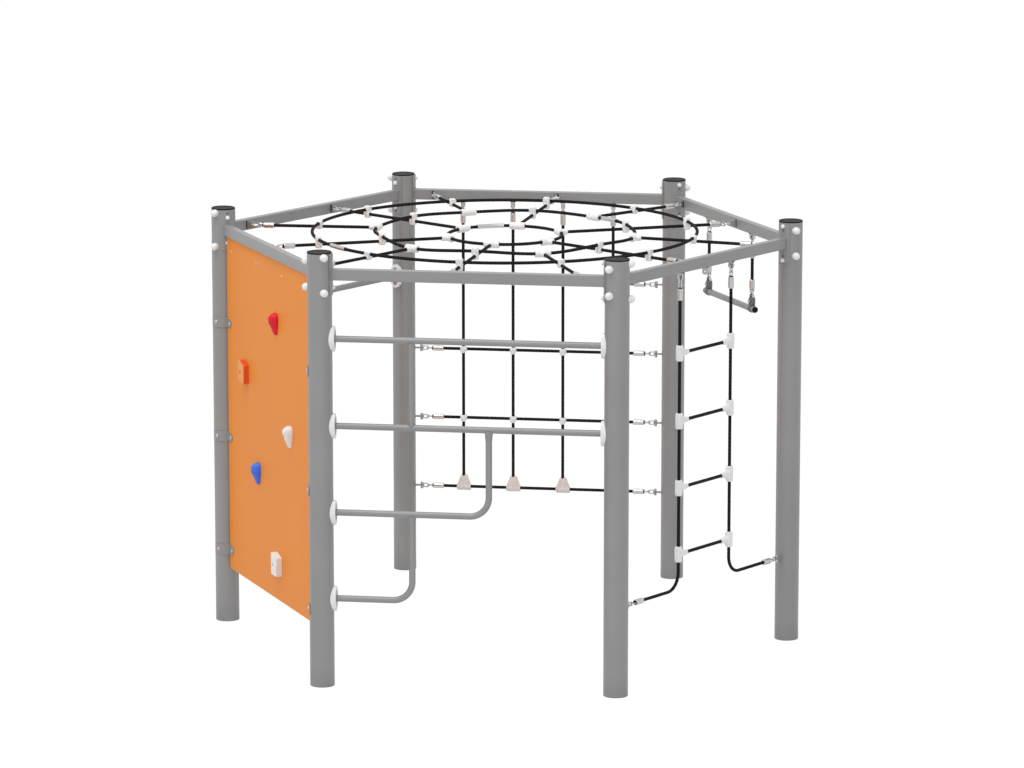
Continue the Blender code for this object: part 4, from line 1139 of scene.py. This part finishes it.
LADDER_SIDES = ((Matrix(), "left"), (FAR_POST, "right"))
ladder_x = MIDDLE - LADDER_HALF
for post, name in LADDER_SIDES:
    route = [(ladder_x, 0, LADDER_PIN - LADDER_FORK - IN_FERRULE)]
    bend = arc((ladder_x - LADDER_BEND, LADDER_LOW + LADDER_BEND), LADDER_BEND, 0, -90, 24)
    route += [(x, 0, z) for x, z in bend]
    route.append((POST_PIN + POST_FORK + IN_FERRULE, 0, LADDER_LOW))
    piece = copied(rope(route), [side_frame(3) @ post])
    joined(f"ladder_side_{name}", piece, black_rope, "black_rope", replaces=[f"ladder_rope_{name}"])

# The rope ends
# Where a rope meets a lug, it ends in a pressed steel ferrule with a forged eye. A shackle joins the eye to
# the lug, with its bolt through the lug's hole. They are bright steel.
SHACKLE_HALF = 0.0098
SHACKLE_WIRE = 0.0038


def terminal(fork, length):
    """Shackle, eye and ferrule in the frame of a pin: X along the rope, Z along the pin."""
    bow = fork * 0.60
    legs = [(x, 0, z) for z, x in arc((0, bow - SHACKLE_HALF), SHACKLE_HALF, 180, 0, 12)]
    route = [(-0.002, 0, -SHACKLE_HALF)] + legs + [(-0.002, 0, SHACKLE_HALF)]
    shackle = tube_along(route, SHACKLE_WIRE, sides=10)
    eyes = turned([(0.0060, -0.0036), (0.0080, -0.0028), (0.0080, 0.0028), (0.0060, 0.0036)], 18)
    eyes = copied(eyes, [shift(0, 0, -SHACKLE_HALF), shift(0, 0, SHACKLE_HALF)])
    shank = turned([(0.0050, -0.0135), (0.0050, 0.0135)], 16)
    head = turned([(0.0080, 0.0133), (0.0085, 0.0142), (0.0080, 0.0172), (0.0055, 0.0188)], 18)
    end = added(bpy.ops.mesh.primitive_cylinder_add, vertices=6, radius=0.0088, depth=0.0055)
    bpy.ops.transform.translate(value=(0, 0, -0.0160))
    done(end)
    centre = bow + 0.0030
    loop = [(x, y, 0) for x, y in arc((centre, 0), 0.0098, 58, 302, 16)]
    loop = [(fork + 0.004, 0.0050, 0)] + loop + [(fork + 0.004, -0.0050, 0)]
    eye = tube_along(loop, SHACKLE_WIRE, sides=10)
    profile = [
        (0.0105, 0), (0.0132, 0.0006), (0.0150, 0.0030), (0.0155, 0.0056), (0.0155, length - 0.0056),
        (0.0150, length - 0.0030), (0.0130, length - 0.0006), (0.0100, length),
    ]
    sleeve = turned(profile, 28)
    sleeve.data.transform(shift(fork, 0, 0) @ ALONG_X)
    return merged([shackle, shank, head, end, eye, sleeve] + eyes)


def mouth_stub_and_shade(fork):
    """Black stub round the eye's stem in the ferrule's mouth: the rope's end, partly painted shade."""
    plug = turned([(0.0096, -0.0045), (0.0112, -0.0038), (0.0116, -0.0022), (0.0116, 0.0006)], 24)
    plug.data.transform(shift(fork, 0, 0) @ ALONG_X)
    return plug


def rope_ends(name, groups, body="frame", ferrule=FERRULE):
    """What ends the ropes of one element. A group is the length of its forks and the frames of its pins."""
    ends = []
    stubs_and_shade = []
    for fork, pins in groups:
        ends += copied(terminal(fork, ferrule), pins)
        # Each ferrule's mouth gets a black stub: the rope's black end, and partly painted shade for the
        # shadow in it.
        stubs_and_shade += copied(mouth_stub_and_shade(fork), pins)
    joined(name + "_ends", ends, bright_steel, "bright_steel", body)
    joined(name + "_stubs", stubs_and_shade, black_plastic, "black_plastic", body)


tops = [side_frame(3) @ post @ hanging(ladder_x, LADDER_PIN, ALONG) for post, _ in LADDER_SIDES]
feet = [side_frame(3) @ post @ aimed((POST_PIN, 0, LADDER_LOW), ALONG, UP) for post, _ in LADDER_SIDES]
rope_ends("ladder", ((LADDER_FORK, tops), (POST_FORK, feet)))

# The ladder's rungs
# Black ribbed plastic tubes, 18 mm across, pressed at both ends into white moulded connectors that the side
# ropes run through.
LADDER_RUNGS = (0.643, 0.995, 1.348, 1.704)
RUNG_R = 0.0090
GROOVE_R = 0.0085
RIBS = 17


def mirrored_turning(half, sides=32):
    """A turned piece whose lower half mirrors the upper one."""
    return turned([(r, -z) for r, z in reversed(half)] + half, sides)


half = LADDER_HALF - 0.050
for number, z in enumerate(LADDER_RUNGS):
    profile = [(RUNG_R, -half)]
    for rib in range(RIBS):
        at = -half + 0.032 + (2 * half - 0.064) * rib / (RIBS - 1)
        profile += [(RUNG_R, at - 0.0040), (GROOVE_R, at - 0.0030)]
        profile += [(GROOVE_R, at + 0.0030), (RUNG_R, at + 0.0040)]
    profile.append((RUNG_R, half))
    rod = copied(turned(profile, 24), [side_frame(3) @ shift(MIDDLE, 0, z) @ ALONG_X])
    node = f"ladder_rung_{number + 1}"
    joined(f"rung_rod_{number + 1}", rod, black_plastic, "black_plastic", replaces=[node])
barrel = mirrored_turning([(0.0200, 0.029), (0.0192, 0.036), (0.0168, 0.041)])
stub = turned([(0.0235, 0.002), (0.0220, 0.016), (0.0165, 0.050), (0.0140, 0.070), (0.0118, 0.0745)], 32)
stub.data.transform(Matrix.Diagonal((1, 0.75, 1, 1)) @ ALONG_X)
tee = bored(blended([barrel, stub], 0.0014, 0.12, 4), Matrix(), ROPE_R + 0.0012, 0.060)
places = [side_frame(3) @ post @ shift(ladder_x, 0, z) for post, _ in LADDER_SIDES for z in LADDER_RUNGS]
joined("ladder_connectors", copied(tee, places), white_plastic, "white_plastic", sharp=50)

# The trapeze
# Two short ropes hang from the lugs under the beam and carry a steel bar by two dark clevis blocks. The ropes
# swing about the upper bolts, and the bar tilts about the lower ones.
CLEVIS_PIN = TRAPEZE_PIN - 0.321
TRAPEZE_BAR = CLEVIS_PIN - 0.0705
TRAPEZE_BAR_HALF = TRAPEZE_HALF + 0.0405
TRAPEZE_ENDS = (MIDDLE - TRAPEZE_HALF, MIDDLE + TRAPEZE_HALF)
TRAPEZE_FORK = 0.061
CLEVIS_FORK = 0.035
TRAPEZE_FERRULE = 0.054
side_4 = side_frame(4)
for name, x in zip(("left", "right"), TRAPEZE_ENDS):
    top = TRAPEZE_PIN - TRAPEZE_FORK - IN_FERRULE
    line = copied(rope([(x, 0, top), (x, 0, CLEVIS_PIN + CLEVIS_FORK + IN_FERRULE)]), [side_4])
    node = f"trapeze_rope_{name}"
    joined(f"trapeze_line_{name}", line, black_rope, "black_rope", "trapeze_ropes", [node])
tops = [side_4 @ hanging(x, TRAPEZE_PIN, ALONG) for x in TRAPEZE_ENDS]
feet = [side_4 @ aimed((x, 0, CLEVIS_PIN), UP, ALONG) for x in TRAPEZE_ENDS]
rope_ends("trapeze", ((TRAPEZE_FORK, tops), (CLEVIS_FORK, feet)), "trapeze_ropes", TRAPEZE_FERRULE)

bar = tube_along([(MIDDLE + side * TRAPEZE_BAR_HALF, 0, TRAPEZE_BAR) for side in (-1, 1)], BAR_R, sides=32)
joined("trapeze_tube", copied(bar, [side_4]), powder_coat, "painted_steel", "trapeze_bar", ["trapeze_bar"])

cast_steel, shader, start, place = finish("dark cast steel", metallic=0.5, roughness=0.5)
cloud = noise(start, place, 40, 4)
sand = noise(start, place, 800, 3, 0.6)
feed(
    shader,
    base_color=between(start, cloud, linear(98, 98, 100), linear(118, 118, 120)),
    roughness=0.42 + cloud * 0.2,
    normal=bump(start, sand, 0.0001),
)
neck = plate(rounded(0.028, 0.030, 0.005), 0.028, edge=0.0025)
neck.data.transform(shift(0, 0, 0.012) @ IN_PLANE)
head = turned(
    [
        (0.0130, 0.0160), (0.0165, 0.0185), (0.0185, 0.0240), (0.0188, 0.0320),
        (0.0188, 0.0500), (0.0178, 0.0570), (0.0150, 0.0615), (0.0090, 0.0630),
    ],
    32,
)
ring = turned([(0.0190, -0.014), (0.0208, -0.012), (0.0208, 0.012), (0.0190, 0.014)], 32)
ring.data.transform(ALONG_X)
clevis = merged([neck, head, ring, *copied(lug(0.019), [aimed((0, 0, CLEVIS_PIN - TRAPEZE_BAR), UP, ALONG)])])
places = [side_4 @ shift(x, 0, TRAPEZE_BAR) for x in TRAPEZE_ENDS]
joined("trapeze_clevises", copied(clevis, places), cast_steel, "painted_steel", "trapeze_bar")
spots = [place @ shift(0, 0.0180, 0.044) @ turn(-90, "X") for place in places]
joined("clevis_nuts", copied(nut(0.0105, 0.004), spots), bright_steel, "bright_steel", "trapeze_bar")

END_CAP = [
    (0.0140, -0.018), (0.0140, 0.0002), (BAR_R - 0.0002, 0.0003), (BAR_R - 0.0002, 0.0035),
    (BAR_R - 0.0012, 0.0052), (BAR_R - 0.0035, 0.0060), (0.0005, 0.0061),
]
for name, facing in (("left", 180), ("right", 0)):
    spot = shift(MIDDLE, 0, TRAPEZE_BAR) @ turn(facing) @ shift(TRAPEZE_BAR_HALF, 0, 0) @ ALONG_X
    pieces = copied(turned(END_CAP, 32), [side_4 @ spot])
    joined(f"bar_plug_{name}", pieces, black_plastic, "black_plastic", "trapeze_bar", [f"trapeze_cap_{name}"])

# The rope net
# Four upright ropes hang from the beam and four level ropes are stretched between the posts. White moulded
# connectors clamp the ropes where they cross, and four cone-shaped ones end the uprights on the lowest rope.
NET_FORK = 0.038
net = side_frame(5)
pieces = []
tops = []
for x in NET_ROPES:
    bottom = NET_ROWS[-1] + 0.010
    top = NET_PIN - NET_FORK - IN_FERRULE
    pieces.append(rope([(MIDDLE + x, NET_OFFSET, top), (MIDDLE + x, NET_OFFSET * 0.4, bottom)]))
    tops.append(net @ hanging(MIDDLE + x, NET_PIN, INWARD, NET_OFFSET))
ends = []
for z in NET_ROWS:
    reach = POST_PIN + POST_FORK + IN_FERRULE
    pieces.append(rope([(reach, -NET_OFFSET, z), (SIDE - reach, -NET_OFFSET, z)]))
    ends.append(net @ aimed((POST_PIN, -NET_OFFSET, z), ALONG, UP))
    ends.append(net @ FAR_POST @ aimed((POST_PIN, NET_OFFSET, z), ALONG, UP))
joined("net_ropes", copied(merged(pieces), [net]), black_rope, "black_rope", replaces=["rope_net"])
rope_ends("net", ((NET_FORK, tops), (POST_FORK, ends)))


def crossed(rise):
    """A rounded block with a collar round each mouth, for one rope along X and one above it along Y."""
    body = plate(rounded(0.033, 0.033, 0.009), rise + 0.039, edge=0.006)
    body.data.transform(shift(0, 0, rise / 2))
    mouth = [(0.0140, 0.0150), (0.0136, 0.0176), (0.0118, 0.0190)]
    lower = mirrored_turning(mouth, 28)
    lower.data.transform(ALONG_X)
    upper = mirrored_turning(mouth, 28)
    upper.data.transform(shift(0, 0, rise) @ turn(90) @ ALONG_X)
    block = blended([body, lower, upper], 0.0013, 0.12, 3)
    bored(block, ALONG_X, ROPE_R + 0.0004, 0.030)
    return bored(block, shift(0, 0, rise) @ turn(90) @ ALONG_X, ROPE_R + 0.0004, 0.030)


spots = []
for x in NET_ROPES:
    for z in NET_ROWS[:-1]:
        spots.append(net @ aimed((MIDDLE + x, NET_OFFSET, z), -UP, -INWARD))
joined("net_crosses", copied(crossed(2 * NET_OFFSET), spots), white_plastic, "white_plastic", sharp=50)

cone_plastic, shader, start, place = finish("weathered white plastic", roughness=0.45)
cloud = noise(start, place, 30, 4)
mottle = noise(start, place, 260, 4, 0.65)
tone = clamped(start, cloud * 0.4 + mottle * 0.6, 0.3, 0.7)
feed(
    shader,
    base_color=between(start, tone, linear(206, 197, 194), linear(232, 226, 223)),
    roughness=0.42 + mottle * 0.2,
    normal=bump(start, mottle, 0.0002),
)
foot = mirrored_turning([(0.0200, 0.032), (0.0190, 0.037), (0.0165, 0.0395)])
foot.data.transform(ALONG_X)
outline = [
    (-0.038, -0.010), (0.038, -0.010), (0.038, 0.012), (0.0185, 0.066), (-0.0185, 0.066), (-0.038, 0.012),
]
skirt = plate(outline, 0.035, edge=0.004)
skirt.data.transform(IN_PLANE)
neck = turned([(0.0195, 0.0), (0.0190, 0.045), (0.0175, 0.066), (0.0145, 0.070)], 32)
cone = bored(blended([foot, skirt, neck], 0.0014, 0.12, 4), ALONG_X, ROPE_R + 0.0004, 0.090)
spots = [net @ shift(MIDDLE + x, -NET_OFFSET * 0.4, NET_ROWS[-1]) for x in NET_ROPES]
joined("net_cones", copied(cone, spots), cone_plastic, "white_plastic", sharp=50)

# The spiderweb's ropes
# Three rings of rope over twelve radial ropes. The long radials end on the small ring and the short ones on
# the middle ring, which dips to them. All are stretched tight between the beams.
OUTER_R = SIDE - 0.501
MIDDLE_R = OUTER_R - 0.347
INNER_R = OUTER_R - 0.719
WEB_FORK = 0.060


def radial_angle(k, anchor):
    start = side_frame(k) @ Vector((anchor, 0, 0))
    return math.degrees(math.atan2(start.y, start.x)) % 360


def ring_point(radius, angle):
    """The outer and inner rings are round and level. The short radials pull the middle one out and down."""
    past_long = math.radians(6 * (angle - radial_angle(1, LONG_ANCHOR)))
    pull = (1 - math.cos(past_long)) / 2 if radius == MIDDLE_R else 0
    rise = 0 if radius == INNER_R else 0.025
    reach = radius + 0.023 * pull
    turned_by = math.radians(angle)
    return Vector((reach * math.cos(turned_by), reach * math.sin(turned_by), BEAM_Z + rise - 0.011 * pull))


def radial_frame(k, anchor, radius):
    """Frame of a radial's pin with Z upwards, aimed at its ring, and the length from the pin to the ring."""
    pin = (side_frame(k) @ web_anchor(anchor)).translation
    end = ring_point(radius, radial_angle(k, anchor))
    return aimed(pin, end - pin, UP), (end - pin).length


LONG = [(k, LONG_ANCHOR, INNER_R) for k in range(1, 7)]
SHORT = [(k, SHORT_ANCHOR, MIDDLE_R) for k in range(1, 7)]
RADIALS = LONG + SHORT
for name, radius in (("outer", OUTER_R), ("middle", MIDDLE_R), ("inner", INNER_R)):
    pieces = [rope([ring_point(radius, 2 * i) for i in range(180)], closed=True)]
    for k, anchor, end in RADIALS:
        if end == radius:
            spot, length = radial_frame(k, anchor, radius)
            route = [spot @ Vector((x, 0, 0)) for x in (WEB_FORK + IN_FERRULE, length - 0.006)]
            pieces.append(rope(route))
    joined(f"web_ropes_{name}", pieces, black_rope, "black_rope", replaces=[f"web_{name}_ring"])

# The spiderweb's fittings
# Bright steel ends at the beams and one long pressed sleeve that closes each ring, with white moulded
# connectors where a ring crosses a radial and where a radial ends.
spots = [radial_frame(*radial)[0] @ turn(90, "X") for radial in RADIALS]
rope_ends("web", ((WEB_FORK, spots),))

# Each ring's sleeve lies between two angles.
pieces = []
for radius, first, last in ((OUTER_R, 216.0, 224.2), (MIDDLE_R, 36.5, 48.8), (INNER_R, 99.0, 127.5)):
    route = [ring_point(radius, first + (last - first) * i / 16) for i in range(17)]
    pieces.append(tube_along(route, 0.0122, sides=24))
    modify(pieces[-1], "BEVEL", width=0.0020, segments=2, limit_method="ANGLE", angle_limit=math.radians(60))
joined("web_sleeves", pieces, bright_steel, "bright_steel")

CROSS_RISE = 0.024
crossings = [(radial, OUTER_R) for radial in RADIALS] + [(radial, MIDDLE_R) for radial in LONG]
spots = []
for (k, anchor, own), ring in crossings:
    spot, length = radial_frame(k, anchor, own)
    above = ring_point(ring, radial_angle(k, anchor))
    end = spot @ Vector((length, 0, 0))
    share = (spot.translation - above).xy.length / (spot.translation - end).xy.length
    middle = spot @ shift(length * share, 0, 0)
    rise = above.z - middle.translation.z
    spots.append(middle @ Matrix.Diagonal((1, 1, rise / CROSS_RISE, 1)))
joined("web_crosses", copied(crossed(CROSS_RISE), spots), white_plastic, "white_plastic", sharp=50)

barrel = mirrored_turning([(0.0200, 0.033), (0.0193, 0.0385), (0.0168, 0.0415)])
stub = turned([(0.0175, -0.004), (0.0170, 0.020), (0.0160, 0.040), (0.0135, 0.045)], 32)
barrel.data.transform(turn(90) @ ALONG_X)
stub.data.transform(turn(180) @ ALONG_X)
tee = bored(blended([barrel, stub], 0.0014, 0.12, 4), turn(90) @ ALONG_X, ROPE_R + 0.0010, 0.055)
spots = []
for k, anchor, end in RADIALS:
    spot, length = radial_frame(k, anchor, end)
    spots.append(spot @ shift(length, 0, 0))
joined("web_tees", copied(tee, spots), white_plastic, "white_plastic", sharp=50)

visual_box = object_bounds()
[[list(corner) for corner in box] for box in (cad_box, visual_box)]
